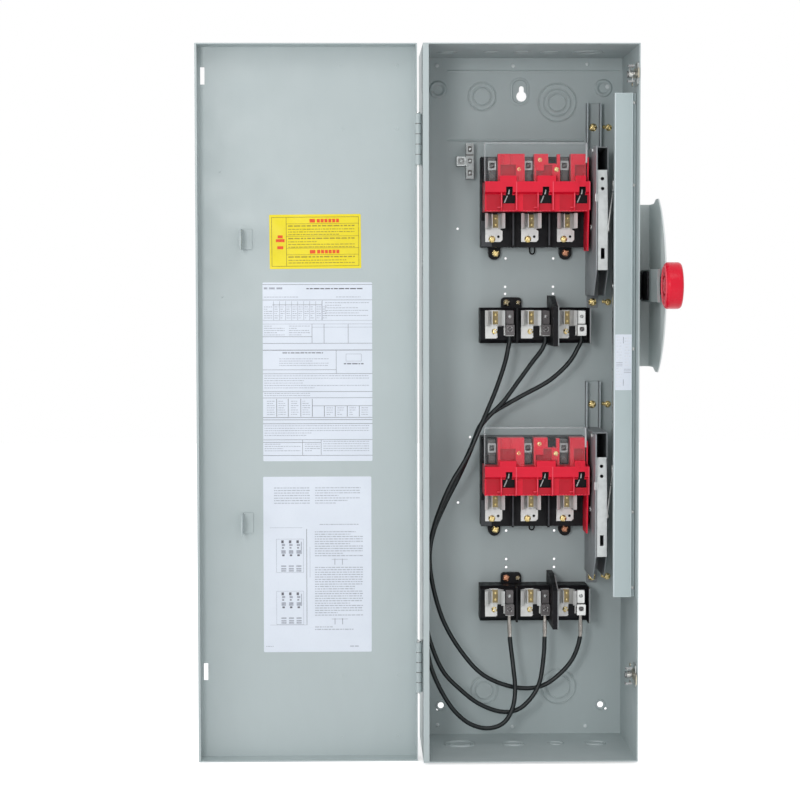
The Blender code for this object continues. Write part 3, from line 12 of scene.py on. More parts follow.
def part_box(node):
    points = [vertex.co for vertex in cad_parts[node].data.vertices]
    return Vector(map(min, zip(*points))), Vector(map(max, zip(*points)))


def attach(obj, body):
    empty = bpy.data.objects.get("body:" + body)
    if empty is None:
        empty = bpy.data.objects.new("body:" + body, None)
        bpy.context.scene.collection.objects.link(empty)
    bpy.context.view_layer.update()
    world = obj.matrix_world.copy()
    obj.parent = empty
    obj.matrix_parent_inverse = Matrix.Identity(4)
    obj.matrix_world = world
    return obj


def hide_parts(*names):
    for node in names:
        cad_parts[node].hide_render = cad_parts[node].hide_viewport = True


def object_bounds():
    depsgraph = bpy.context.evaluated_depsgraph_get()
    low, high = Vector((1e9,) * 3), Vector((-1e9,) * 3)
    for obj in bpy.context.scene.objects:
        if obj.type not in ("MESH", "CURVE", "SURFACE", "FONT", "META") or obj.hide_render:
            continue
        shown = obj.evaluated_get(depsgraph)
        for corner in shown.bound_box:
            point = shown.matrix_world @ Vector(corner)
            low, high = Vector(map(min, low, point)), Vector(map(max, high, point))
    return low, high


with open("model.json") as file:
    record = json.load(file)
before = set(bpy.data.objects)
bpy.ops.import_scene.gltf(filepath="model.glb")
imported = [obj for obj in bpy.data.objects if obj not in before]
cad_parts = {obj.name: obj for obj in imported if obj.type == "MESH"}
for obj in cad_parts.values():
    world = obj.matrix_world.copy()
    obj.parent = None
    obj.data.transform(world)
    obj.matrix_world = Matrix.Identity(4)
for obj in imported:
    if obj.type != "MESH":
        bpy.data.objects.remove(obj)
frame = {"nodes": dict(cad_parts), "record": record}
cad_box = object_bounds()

# Small forms, labels and cable routes are written in millimetres.
# Surfaces, cables' tubes, camera, stage and lamps are in metres.
MM = 0.001
NODES = frame["nodes"]
PAIR = ("upper", "lower")
POLES = (1, 2, 3)


# ---------- camera
CAMERA_PLACE = Vector((-0.248, -3.182, 0.1667))
CAMERA_LENS = 97.35
CAMERA_YAW = math.radians(1.255)      # to the right of +Y
CAMERA_PITCH = math.radians(-3.028)
CAMERA_ROLL = math.radians(-0.094)


def link(thing):
    bpy.context.scene.collection.objects.link(thing)
    return thing


def assign(thing, **values):
    """Set several properties of a thing."""
    for name, value in values.items():
        setattr(thing, name, value)
    return thing


def make_camera():
    data = assign(bpy.data.cameras.new("camera"), sensor_width=36, lens=CAMERA_LENS,
                  clip_start=0.05, clip_end=40)
    thing = link(bpy.data.objects.new("camera", data))
    yaw = Matrix.Rotation(-CAMERA_YAW, 4, "Z")
    pitch = Matrix.Rotation(math.pi / 2 + CAMERA_PITCH, 4, "X")
    roll = Matrix.Rotation(CAMERA_ROLL, 4, "Z")
    thing.matrix_world = Matrix.Translation(CAMERA_PLACE) @ yaw @ pitch @ roll
    bpy.context.scene.camera = thing


make_camera()


# ---------- surfaces
def feed(tree, socket, value):
    """Link a socket, or set its value."""
    if isinstance(value, bpy.types.NodeSocket):
        tree.links.new(value, socket)
    else:
        socket.default_value = value


def add_node(tree, kind, *numbered, **named):
    """A new node with sockets fed in order, or by name with _ for a blank."""
    return fill(tree, tree.nodes.new(kind), *numbered, **named)


def fill(tree, node, *numbered, **named):
    """Feed a node's input sockets."""
    for number, value in enumerate(numbered):
        feed(tree, node.inputs[number], value)
    for name, value in named.items():
        feed(tree, node.inputs[name.replace("_", " ")], value)
    return node


class Surface:
    """A Principled material made of a plain colour and procedural layers in metres."""

    def __init__(self, name, colour, roughness, metallic=0, **sockets):
        self.material = bpy.data.materials.new(name)
        self.material.use_nodes = True
        self.material.diffuse_color = (*colour, 1)
        self.tree = self.material.node_tree
        self.shader = self.tree.nodes["Principled BSDF"]
        self.place = self.node("ShaderNodeTexCoord").outputs["Object"]
        self.set(Metallic=metallic, Roughness=roughness, **sockets)
        self.colour = (*colour, 1)
        self.normal = None

    def node(self, kind, *numbered, **named):
        return add_node(self.tree, kind, *numbered, **named)

    def set(self, **sockets):
        fill(self.tree, self.shader, **sockets)

    def noise(self, size, detail=3, stretch=(1, 1, 1), contrast=(0.3, 0.7)):
        """Soft noise from 0 to 1 with features about size metres long."""
        place = self.node("ShaderNodeMapping", Vector=self.place, Scale=stretch)
        texture = self.node("ShaderNodeTexNoise", Vector=place.outputs["Vector"], Scale=1 / size,
                            Detail=detail)
        return self.spread(texture.outputs["Fac"], *contrast)

    def spread(self, value, low, high, to_low=0, to_high=1):
        """Map low..high onto another range, clamped."""
        ramp = self.node("ShaderNodeMapRange", Value=value, From_Min=low, From_Max=high,
                         To_Min=to_low, To_Max=to_high)
        return ramp.outputs["Result"]

    def edges(self, radius, low=0.02, high=0.35):
        """1 along the edges of the shape and 0 on its flats."""
        bevel = self.node("ShaderNodeBevel", Radius=radius)
        bevel.samples = 4
        facing = self.node("ShaderNodeNewGeometry")
        dot = self.node("ShaderNodeVectorMath", bevel.outputs["Normal"], facing.outputs["Normal"])
        dot.operation = "DOT_PRODUCT"
        return self.spread(dot.outputs["Value"], 1 - low, 1 - high)

    def times(self, first, second):
        product = self.node("ShaderNodeMath", first, second)
        product.operation = "MULTIPLY"
        return product.outputs["Value"]

    def mask(self, kind):
        """Noise for a tuple of its arguments, or the edges for a radius."""
        return self.noise(*kind) if isinstance(kind, tuple) else self.edges(kind)

    def tint(self, mask, colour, amount=1):
        """Turn the colour towards another one where the mask is high."""
        mix = self.node("ShaderNodeMix")
        mix.data_type = "RGBA"
        factor = self.times(self.mask(mask), amount)
        fill(self.tree, mix, Factor=factor, A=self.colour, B=(*colour, 1))
        self.colour = mix.outputs["Result"]
        self.set(Base_Color=self.colour)
        return self

    def gloss(self, mask, low, high):
        self.set(Roughness=self.spread(self.mask(mask), 0, 1, low, high))
        return self

    def bump(self, mask, depth, strength=1):
        """Raise the surface by depth metres where the mask is high."""
        node = self.node("ShaderNodeBump", Strength=strength, Distance=depth,
                         Height=self.mask(mask))
        if self.normal:
            fill(self.tree, node, Normal=self.normal)
        self.normal = node.outputs["Normal"]
        self.set(Normal=self.normal)
        return self


def shade_of(colour, share):
    return [share * part for part in colour]


def paint(name, colour, wear_and_highlight, roughness=0.42, wear_and_highlight_width=0.0012, share=0.45):
    """Satin powder coat: orange peel, slow shade changes, and edges lightened partly by rubbing
    wear and partly as a painted highlight.
    """
    darker = shade_of(colour, 0.86)
    look = Surface(name, colour, roughness)
    look.tint((0.16, 4), darker, 0.35).tint((0.011, 2, (1, 1, 0.25)), darker, 0.1)
    # The lighter band along the edges is rubbing wear and a painted highlight.
    look.tint(wear_and_highlight_width, wear_and_highlight, share).gloss((0.05, 5), roughness - 0.07, roughness + 0.1)
    return look.bump((0.0016, 2), 0.00006, 0.55).bump((0.045, 1), 0.0006, 0.1).material


def plated(name, colour, satin=0, metal=1):
    """Bright zinc or tin plate with fine rolling marks, dull patches and a painted highlight along
    its edges.
    """
    streaks = (1, 1, 0.06)
    look = Surface(name, colour, 0.3, metal)
    look.tint((0.009, 4), shade_of(colour, 0.7), 0.5)
    look.tint((0.0012, 2, streaks), shade_of(colour, 0.8), 0.18)
    # Near-white band along the edges: a painted highlight.
    look.tint(0.0006, (0.93, 0.94, 0.94), 0.6)
    look.gloss((0.006, 3), 0.24 + satin, 0.4 + satin)
    return look.bump((0.0009, 2, streaks), 0.00003, 0.35).material


def yellow_zinc(name):
    """Yellow chromate plate that drifts from pale gold to brown, with a painted highlight along its
    edges.
    """
    look = Surface(name, (0.66, 0.5, 0.18), 0.3, 1)
    look.tint((0.0035, 2), (0.8, 0.68, 0.4), 0.7)
    look.tint((0.0024, 2, (1, 1, 1), (0.45, 0.75)), (0.46, 0.36, 0.18), 0.5)
    # Pale gold band along the edges: a painted highlight.
    look.tint(0.0005, (0.95, 0.85, 0.55), 0.5).gloss((0.002, 3), 0.18, 0.4)
    return look.bump((0.0008, 2), 0.00003, 0.5).material


def copper(name):
    look = Surface(name, (0.62, 0.3, 0.18), 0.35, 1)
    look.tint((0.005, 4), (0.3, 0.15, 0.1), 0.6).gloss((0.003, 3), 0.25, 0.5)
    return look.bump((0.0008, 2, (0.1, 1, 1)), 0.00004, 0.5).material


def tinned_copper(name):
    look = Surface(name, (0.62, 0.59, 0.56), 0.35, 1)
    return look.tint((0.004, 3), (0.38, 0.34, 0.3), 0.6).gloss((0.002, 3), 0.25, 0.5).material


def moulding(name, colour=(0.004, 0.004, 0.005), bloom=(0.01, 0.01, 0.013)):
    """Black thermoset with a fine flow grain, a dusty bloom and a painted highlight along its
    edges.
    """
    look = Surface(name, colour, 0.45, Specular_IOR_Level=0.15)
    # The grey band along the edges is a painted highlight.
    look.tint((0.013, 4), bloom, 0.6).tint(0.0007, (0.11, 0.11, 0.125), 0.4)
    return look.gloss((0.007, 4), 0.34, 0.58).bump((0.0011, 3), 0.00006, 0.5).material


def red_moulding(name, colour=(0.8, 0.0045, 0.034), rough=0.36):
    """Red thermoplastic whose paler pink edges are a painted highlight."""
    look = Surface(name, colour, rough, Specular_IOR_Level=0.3)
    # The pale pink band along the edges is a painted highlight.
    look.tint((0.022, 3), shade_of(colour, 0.82), 0.5).tint(0.0009, (0.9, 0.06, 0.11), 0.6)
    look.gloss((0.009, 4), rough - 0.08, rough + 0.08)
    return look.bump((0.0014, 2), 0.00005, 0.45).bump((0.02, 1), 0.0003, 0.12).material


def clear_sheet(name, alpha, colour=(0.8, 0.86, 0.88)):
    """Clear polycarbonate with a faint haze."""
    look = Surface(name, colour, 0.12, IOR=1.58)
    look.tint((0.012, 3), shade_of(colour, 0.92), 0.5).gloss((0.01, 3), 0.06, 0.22)
    look.set(Alpha=look.spread(look.noise(0.017, 3), 0, 1, 0.8 * alpha, 1.2 * alpha))
    return look.material


def jacket(name):
    """Black thermoplastic wire jacket, slightly polished, with drawing lines."""
    look = Surface(name, (0.006, 0.009, 0.01), 0.34, Specular_IOR_Level=0.35)
    look.tint((0.006, 3), (0.016, 0.022, 0.024), 0.6).gloss((0.006, 3), 0.26, 0.44)
    return look.bump((0.0012, 2), 0.00005, 0.5).material


def film(name, colour, soiled):
    """Printed label film with faint handling marks and a slow ripple."""
    look = Surface(name, colour, 0.38, Specular_IOR_Level=0.35)
    look.tint((0.05, 4), soiled, 0.5).tint((0.004, 3, (1, 1, 1), (0.55, 0.8)), soiled, 0.4)
    return look.gloss((0.02, 4), 0.3, 0.5).bump((0.03, 2), 0.0003, 0.1).material


def ink(name, colour):
    """Thin printing ink that lets some film through."""
    look = Surface(name, colour, 0.5, Specular_IOR_Level=0.3)
    look.tint((0.002, 3), [min(1, 1.7 * part + 0.03) for part in colour], 0.6)
    return look.gloss((0.004, 3), 0.42, 0.6).material


LOOKS = {
    "paint": paint("grey_powder_coat", (0.458, 0.522, 0.528), (0.6, 0.66, 0.67)),
    # The cover's wide, strong light edge band is mostly a painted highlight on its bends.
    "cover_paint": paint("cover_paint", (0.45, 0.53, 0.54), (0.8, 0.87, 0.9), wear_and_highlight_width=0.0026,
                         share=0.85),
    "dark_paint": paint("dark_grey_paint", (0.27, 0.3, 0.305), (0.42, 0.46, 0.46), 0.38),
    "plated": plated("zinc_plate", (0.66, 0.67, 0.66)),
    "brass": yellow_zinc("yellow_zinc"),
    "copper": copper("copper"),
    "phenolic": moulding("black_moulding"),
    "red_plastic": red_moulding("red_moulding"),
    "clear_plastic": clear_sheet("clear_sheet", 0.035),
    "cable_jacket": jacket("black_jacket"),
}
DULL = plated("dull_zinc", (0.34, 0.35, 0.35))
LUG_STEEL = plated("lug_steel", (0.085, 0.082, 0.08), satin=0.05, metal=0.7)
# A darker copy of the plate that paints shade on the first two poles' load lugs and on the lugs'
# collar screws.
BARREL_SHADE_GREY = plated("lug_barrel_shade_grey", (0.115, 0.105, 0.108), satin=0.15, metal=0.3)
CLIP_ZINC = plated("clip_zinc", (0.74, 0.745, 0.73), satin=0.12, metal=0.4)
# A near-white, barely metallic plate that paints the highlight on the clips' blades and lips.
CLIP_HIGHLIGHT_ZINC = plated("clip_highlight_zinc", (0.86, 0.865, 0.85), satin=0.16, metal=0.15)
# A pale grey moulding that paints the highlight on the black bases' edges.
NOSING_HIGHLIGHT_GREY = moulding("nosing_highlight_grey", (0.3, 0.315, 0.32), (0.36, 0.375, 0.38))
PALE_BRASS = plated("pale_brass", (0.5, 0.46, 0.36))
# A pale paint for strips that paint the highlight on bends and edges.
BEND_HIGHLIGHT_PAINT = paint("bend_highlight_paint", (0.6, 0.68, 0.7), (0.8, 0.86, 0.88), 0.3)
# A pale paint for painted highlights: the weld marks and a light spot beside a pad.
HIGHLIGHT_PAINT = paint("painted_highlight_marks", (0.72, 0.77, 0.78), (0.85, 0.88, 0.88), 0.3)
# A darker paint that paints the shade in and beside the knockouts' cut lines.
GROOVE_SHADE_PAINT = paint("groove_shade_paint", (0.48, 0.54, 0.545), (0.56, 0.62, 0.63))
OLIVE = plated("olive_spring", (0.24, 0.19, 0.1))
# A brighter red that paints the highlight on the ribs.
RIB_HIGHLIGHT_RED = red_moulding("rib_highlight_moulding", (0.93, 0.085, 0.135), 0.34)
ARM_ZINC = plated("arm_zinc", (0.52, 0.545, 0.545), satin=0.12)
# The frame's strong light edge band is a painted highlight on its flanges, besides wear.
FRAME_PAINT = paint("frame_paint", (0.255, 0.275, 0.29), (0.66, 0.72, 0.74), 0.38, wear_and_highlight_width=0.0016,
                    share=0.8)
OWN_LOOKS = {
    "ground_lug": plated("lug_aluminium", (0.25, 0.265, 0.265)),
    # The guard's paint is lighter than the box's same grey: painted light on faces that the lamps
    # reach poorly.
    "handle_guard": paint("guard_paint_painted_light", (0.69, 0.745, 0.74), (0.7, 0.74, 0.74), 0.38),
    "handle_lever": paint("lever_paint", (0.3, 0.345, 0.345), (0.75, 0.78, 0.78), 0.34),
    "handle_grip": red_moulding("grip_moulding", (0.74, 0.002, 0.026), 0.26),
}
for side in PAIR:
    OWN_LOOKS["drive_arm_" + side] = ARM_ZINC
    OWN_LOOKS["mechanism_frame_" + side] = FRAME_PAINT
    OWN_LOOKS["latch_plate_" + side] = PALE_BRASS
    for pole in POLES:
        OWN_LOOKS["line_lug_%s_%d" % (side, pole)] = LUG_STEEL
        OWN_LOOKS["line_clip_%s_%d" % (side, pole)] = CLIP_ZINC
        OWN_LOOKS["load_clip_%s_%d" % (side, pole)] = CLIP_ZINC
# A brighter red that paints the highlight on the grip's raised rings.
GRIP_RIDGE_HIGHLIGHT = red_moulding("grip_ridge_highlight", (0.93, 0.1, 0.14), 0.26)
# A darker red that paints the shade in recesses: the towers' pockets, the blades' slots and the
# grip's faces.
SHADED_RECESS_RED = red_moulding("recess_shade_moulding", (0.56, 0.003, 0.022), 0.45)
# A dark grey that paints a faint highlight on the barriers' edges.
GREY_HIGHLIGHT_MOULDING = moulding("grey_highlight_moulding", (0.06, 0.064, 0.07), (0.1, 0.105, 0.115))
# A denser whitish clear sheet that paints the highlight on the shield's cut edges.
CLEAR_EDGE_HIGHLIGHT = clear_sheet("clear_edge", 0.45, (0.9, 0.93, 0.95))
WHITE_FILM = film("white_film", (0.74, 0.79, 0.87), (0.66, 0.71, 0.79))
YELLOW_FILM = film("yellow_film", (0.87, 0.73, 0.01), (0.78, 0.64, 0.01))
INK = ink("black_ink", (0.1, 0.1, 0.12))
PALE_INK = ink("grey_ink", (0.31, 0.33, 0.38))
FAINT_INK = ink("faint_ink", (0.56, 0.6, 0.67))
RED_INK = ink("red_ink", (0.72, 0.07, 0.01))
BROWN_INK = ink("brown_ink", (0.3, 0.23, 0.02))


# ---------- rounding and shading
SHARP = math.radians(48)              # an edge above this stays crisp
BEVELLED = math.radians(40)           # an edge above this is rounded
ROUNDINGS = {"paint": 0.5, "cover_paint": 0.5, "dark_paint": 0.5, "plated": 0.3, "brass": 0.3,
             "copper": 0.3, "phenolic": 0.5, "red_plastic": 0.5, "clear_plastic": 0.4,
             "cable_jacket": 0}     # millimetres


def shading_group():
    """Geometry nodes that shade a shape smooth except across sharp edges."""
    group = bpy.data.node_groups.new("smooth_by_angle", "GeometryNodeTree")
    for way in ("INPUT", "OUTPUT"):
        group.interface.new_socket("Geometry", in_out=way, socket_type="NodeSocketGeometry")
    start = add_node(group, "NodeGroupInput").outputs[0]
    plain = add_node(group, "GeometryNodeRemoveAttribute", Geometry=start, Name="custom_normal")
    smooth = add_node(group, "GeometryNodeSetShadeSmooth", Geometry=plain.outputs["Geometry"])
    smooth.domain = "FACE"
    angle = add_node(group, "GeometryNodeInputMeshEdgeAngle").outputs["Unsigned Angle"]
    sharp = add_node(group, "FunctionNodeCompare")
    assign(sharp, data_type="FLOAT", operation="GREATER_THAN")
    fill(group, sharp, angle, SHARP)
    crisp = add_node(group, "GeometryNodeSetShadeSmooth")
    crisp.domain = "EDGE"
    fill(group, crisp, Geometry=smooth.outputs["Geometry"], Selection=sharp.outputs["Result"],
         Shade_Smooth=False)
    add_node(group, "NodeGroupOutput", crisp.outputs["Geometry"])
    return group


SHADING = shading_group()


def soften(thing, width, cutter=None, flatten=True):
    """Cut, round (by width millimetres) and smooth-shade a shape, with modifiers only."""
    new = thing.modifiers.new
    new("weld", "WELD").merge_threshold = 0.00002
    if flatten:
        assign(new("flat", "DECIMATE"), decimate_type="DISSOLVE", angle_limit=math.radians(1))
    if width:
        assign(new("bevel", "BEVEL"), width=width * MM, segments=2, limit_method="ANGLE",
               angle_limit=BEVELLED, miter_outer="MITER_ARC")
    if cutter:
        assign(new("carve", "BOOLEAN"), operation="DIFFERENCE", solver="EXACT", object=cutter)
    new("shade", "NODES").node_group = SHADING
    new("weight", "WEIGHTED_NORMAL").keep_sharp = True


# ---------- outlines
AXES = {"x": (1, 2, 0), "y": (0, 2, 1), "z": (0, 1, 2)}


def rectangle(low, high):
    return [(low[0], low[1]), (high[0], low[1]), (high[0], high[1]), (low[0], high[1])]


def arc(centre, radius, start, end, steps):
    angles = [start + (end - start) * step / steps for step in range(steps + 1)]
    return [(centre[0] + radius * math.cos(a), centre[1] + radius * math.sin(a)) for a in angles]


def disc(centre, radius, sides=24):
    return arc(centre, radius, 0, 2 * math.pi * (sides - 1) / sides, sides - 1)


def oval(low, high, radius, steps=12):
    """The outline of a slot that stands upright, from the lower to the upper arc's centre."""
    return arc(high, radius, 0, math.pi, steps) + arc(low, radius, math.pi, 2 * math.pi, steps)


def rounded(low, high, radius, steps=3):
    """A rectangle with round corners."""
    quarter = math.pi / 2
    corners = [(high[0] - radius, high[1] - radius), (low[0] + radius, high[1] - radius),
               (low[0] + radius, low[1] + radius), (high[0] - radius, low[1] + radius)]
    outline = []
    for number, corner in enumerate(corners):
        outline += arc(corner, radius, number * quarter, (number + 1) * quarter, steps)
    return outline


Point = namedtuple("Point", "x y z")


def millimetres(point):
    return Point(*(part / MM for part in point))


def box(name):
    """The low and the high corner of a CAD node in millimetres."""
    return [millimetres(corner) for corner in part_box(name)]


def middle_of(name):
    low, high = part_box(name)
    return millimetres((low + high) / 2)


class Form:
    """Closed forms of one material in one piece that rides a body, in millimetres from at."""

    def __init__(self, name, slot=None, look=None, body="cabinet", at=(0, 0, 0)):
        self.name, self.slot, self.body, self.at = name, slot, body, at
        self.look = look or LOOKS.get(slot)
        self.mesh = bmesh.new()

    def loft(self, outlines, axis, levels, hollow=False):
        """Outlines in the two other axes, joined from level to level along the axis."""
        u, v, w = AXES[axis]
        rings = []
        for outline, level in zip(outlines, levels):
            ring = []
            for point in outline:
                place = [0, 0, 0]
                place[u], place[v], place[w] = point[0], point[1], level
                place = [MM * (start + along) for start, along in zip(self.at, place)]
                ring.append(self.mesh.verts.new(place))
            rings.append(ring)
        pairs = list(zip(rings, rings[1:]))
        if hollow:
            pairs.append((rings[-1], rings[0]))
        else:
            self.mesh.faces.new(rings[0])
            self.mesh.faces.new(rings[-1])
        for low, high in pairs:
            for index in range(len(low)):
                self.mesh.faces.new((low[index - 1], low[index], high[index], high[index - 1]))

    def prism(self, outline, axis, low, high):
        self.loft([outline, outline], axis, (low, high))

    def block(self, low, high):
        self.prism(rectangle((low[0], low[2]), (high[0], high[2])), "y", low[1], high[1])

    def plate(self, low, high, radius, front, back):
        """An upright plate with round corners."""
        self.prism(rounded(low, high, radius), "y", front, back)

    def frame(self, outer, inner, front, back):
        """An upright flat ring between two outlines with the same number of points."""
        self.loft([outer, outer, inner, inner], "y", (front, back, back, front), hollow=True)

    def lathe(self, centre, axis, profile, sides=24, hollow=False):
        """A turned shape; the profile holds (radius, distance along the axis) pairs."""
        u, v, w = AXES[axis]
        outlines = [disc((centre[u], centre[v]), radius, sides) for radius, _ in profile]
        self.loft(outlines, axis, [centre[w] + along for _, along in profile], hollow)

    def ring(self, centre, axis, profile, sides=24):
        """A turned shape around a hole."""
        self.lathe(centre, axis, profile, sides, hollow=True)

    def screw(self, centre, radius, axis="y", out=-1, cuts=4, height=0.45):
        """A domed head on a flange; cuts is 4 for a cross recess and 2 for a slot."""
        u, v, w = AXES[axis]
        middle, seat = (centre[u], centre[v]), centre[w]
        rise = out * radius * height
        self.loft([disc(middle, share * radius) for share in (1, 1, 0.92)], axis,
                  (seat, seat + 0.25 * rise, seat + 0.4 * rise))
        gap = 0.13 * radius
        half = math.pi / cuts
        levels = [seat + share * rise for share in (0.3, 0.6, 0.9, 1)]
        for cut in range(cuts):
            turn = 0.5 + (2 * cut + 1) * half
            outlines = []
            for reach in (0.92, 0.86, 0.66, 0.4):
                spread = half - math.asin(gap / (reach * radius))
                rim = arc(middle, reach * radius, turn - spread, turn + spread, 8)
                if cuts > 2:
                    deep = gap / math.sin(half)
                    rim.append((middle[0] + deep * math.cos(turn),
                                middle[1] + deep * math.sin(turn)))
                outlines.append(rim)
            self.loft(outlines, axis, levels)

    def scatter(self, places, face, profile, sides=24, hollow=False):
        """The same turned shape at several places on an upright face."""
        for x, z in places:
            self.lathe((x, face, z), "y", profile, sides, hollow)

    def turn(self, angle, centre):
        """Turn the whole form about a line along Y through centre."""
        bmesh.ops.rotate(self.mesh, verts=self.mesh.verts, cent=[MM * part for part in centre],
                         matrix=Matrix.Rotation(angle, 3, "Y"))

    def make(self):
        bmesh.ops.recalc_face_normals(self.mesh, faces=self.mesh.faces)
        data = bpy.data.meshes.new(self.name)
        self.mesh.to_mesh(data)
        self.mesh.free()
        return link(bpy.data.objects.new(self.name, data))

    def finish(self, rounding=0.2):
        thing = self.make()
        thing.data.materials.append(self.look)
        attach(thing, self.body)
        soften(thing, rounding)

    def cutter(self):
        """A hidden tool that only shapes other things."""
        thing = self.make()
        thing.hide_render = True
        thing.display_type = "WIRE"
        return thing


def move(forms, *at):
    """Move the origin that the next shapes of some forms are measured from."""
    for form in forms:
        form.at = at


def finish(*forms):
    for form in forms:
        form.finish()


# ---------- cables
CABLE_RADIUS = 0.00325
CABLE_STEP = 0.006
CABLE_LEAD = 0.008           # straight end at each lug
BARE = 0.03                 # stripped length below each lower lug
BARE_STEP = 0.0015
MOUTH_Y = -0.0569
MOUTH_X = (-0.021, 0.031, 0.083)
MOUTH_Z = (0.0935, -0.3125)  # undersides of the upper and lower lugs
STRANDS = 6
STRAND_RADIUS = 0.00082
STRAND_TWIST = 1.2           # turns over the stripped length
LAY_RADIUS = 0.0016          # of the strands round the straight core
BULGE = 0.0008               # how far they spread on their way
BULGE_RATE = 1.2             # above 1 the spread closes before the lug
CABLE_ROUTES = (             # millimetres
    ((-23, -58, 76.4), (-27.6, -62, 56.3), (-40, -70, 20.5), (-53.5, -79, -10.8),
     (-65.5, -84, -37.9), (-84, -84, -79.6), (-105.4, -84, -115.6), (-121.3, -84, -150.3),
     (-132.8, -84, -184.9), (-140.5, -84, -235), (-144, -84, -290), (-143, -84, -340),
     (-136.3, -84, -382.5), (-118.5, -84, -423.4), (-99.7, -84, -450.5), (-77.9, -83, -467.7),
     (-53.2, -82, -473.9), (-31.4, -81, -466.9), (-18.2, -79, -446.9), (-13.5, -74, -418.6),
     (-15.7, -64, -386.7), (-20, -58, -346.7)),
    ((25.6, -58, 73.4), (13.1, -60, 57.5), (-10.5, -66, 26), (-31.1, -71, -1),
     (-48, -74, -17.5), (-64, -74, -36.5), (-80, -74, -72), (-99.2, -74, -113.7),
     (-118, -74, -151.3), (-132.5, -74, -186.1), (-140, -74, -230), (-143.8, -74, -280),
     (-142, -74, -325), (-135.9, -74, -350.6), (-118.1, -74, -391.7), (-93.4, -73, -418.3),
     (-64.2, -72, -440.7), (-30.7, -71, -452.2), (-8.7, -70, -448.7), (10.3, -68, -432.3),
     (22.2, -65, -411.7), (29, -60, -373.1), (30.5, -58, -347)),
    ((78, -58, 76.2), (69, -58, 60.2), (53.5, -58, 42.9), (33.6, -59, 27),
     (1.6, -60, 9.7), (-24.6, -62, -4.6), (-46, -63, -17.5), (-64.5, -64, -36.5),
     (-77.5, -64, -71.1), (-94.3, -64, -108.8), (-114.6, -64, -149.4), (-130.6, -64, -187.2),
     (-137, -64, -222), (-134, -64, -260), (-117.6, -64, -318.7), (-92.9, -64, -362.1),
     (-62.2, -62, -397.1), (-29.9, -60, -413.8), (3.8, -58, -420.2), (28.9, -56, -416.3),
     (52.3, -56, -400.3), (72, -56, -376.8), (82, -57, -347.3)),
)


def smooth_route(points, spacing):
    """Even points along a centripetal curve that passes through the route's points."""
    ghosts = [points[0] * 2 - points[1]] + points + [points[-1] * 2 - points[-2]]
    fine = []
    for index in range(1, len(ghosts) - 2):
        p0, p1, p2, p3 = ghosts[index - 1:index + 3]
        t1 = (p1 - p0).length ** 0.5
        t2 = t1 + (p2 - p1).length ** 0.5
        t3 = t2 + (p3 - p2).length ** 0.5
        for step in range(12):
            t = t1 + (t2 - t1) * step / 12
            a1 = p0.lerp(p1, t / t1)
            a2 = p1.lerp(p2, (t - t1) / (t2 - t1))
            a3 = p2.lerp(p3, (t - t2) / (t3 - t2))
            b1 = a1.lerp(a2, t / t2)
            b2 = a2.lerp(a3, (t - t1) / (t3 - t1))
            fine.append(b1.lerp(b2, (t - t1) / (t2 - t1)))
    fine.append(points[-1])
    return even_points(fine, spacing)


def route_length(points):
    return sum((after - before).length for before, after in zip(points, points[1:]))


def even_points(points, spacing):
    """The same line with its points spaced evenly."""
    total = route_length(points)
    count = max(2, round(total / spacing))
    even = [points[0]]
    walked = 0
    for before, after in zip(points, points[1:]):
        stretch = (after - before).length
        while len(even) < count and walked + stretch >= total * len(even) / count:
            share = (total * len(even) / count - walked) / stretch
            even.append(before.lerp(after, share))
        walked += stretch
    even.append(points[-1])
    return even


def wire(name, points, radius, slot, look=None, rounds=2):
    """A round tube along a line of points, fixed in the box."""
    data = assign(bpy.data.curves.new(name, "CURVE"), dimensions="3D", bevel_depth=radius,
                  bevel_resolution=rounds, use_fill_caps=True)
    spline = data.splines.new("POLY")
    spline.points.add(len(points) - 1)
    for target, point in zip(spline.points, points):
        target.co = (*point, 1)
    spline.use_smooth = True
    thing = link(bpy.data.objects.new(name, data))
    data.materials.append(look or LOOKS[slot])
    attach(thing, "cabinet")
    return thing


def strand_line(stripped, number):
    """One strand's line; the last number is the straight core."""
    line = []
    for index, point in enumerate(stripped):
        share = index / (len(stripped) - 1)
        turn = 2 * math.pi * (number / STRANDS + STRAND_TWIST * share)
        out = 0
        if number < STRANDS:
            out = LAY_RADIUS + BULGE * math.sin(math.pi * min(1, share * BULGE_RATE))
        line.append(point + Vector((math.cos(turn), math.sin(turn), 0)) * out)
    return line


def add_cables():
    strand_look = tinned_copper("tinned_strand")
    drop = Vector((0, 0, CABLE_LEAD))
    for pole in POLES:
        high, low = [Vector((MOUTH_X[pole - 1], MOUTH_Y, z)) for z in MOUTH_Z]
        middle = [Vector([MM * part for part in point]) for point in CABLE_ROUTES[pole - 1]]
        points = [high] + smooth_route([high - drop] + middle + [low - drop], CABLE_STEP) + [low]
        bare_from = len(points) - 1 - round(BARE / CABLE_STEP)
        covered = points[:bare_from + 1]
        stripped = even_points(points[bare_from:], BARE_STEP)
        sheath = wire("cable_jacket_%d" % pole, covered, CABLE_RADIUS, "cable_jacket", rounds=6)
        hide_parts("cable_%d" % pole)
        strands = [wire("strand_%d_%d" % (pole, number + 1), strand_line(stripped, number),
                        STRAND_RADIUS, "copper", strand_look) for number in range(STRANDS + 1)]


add_cables()


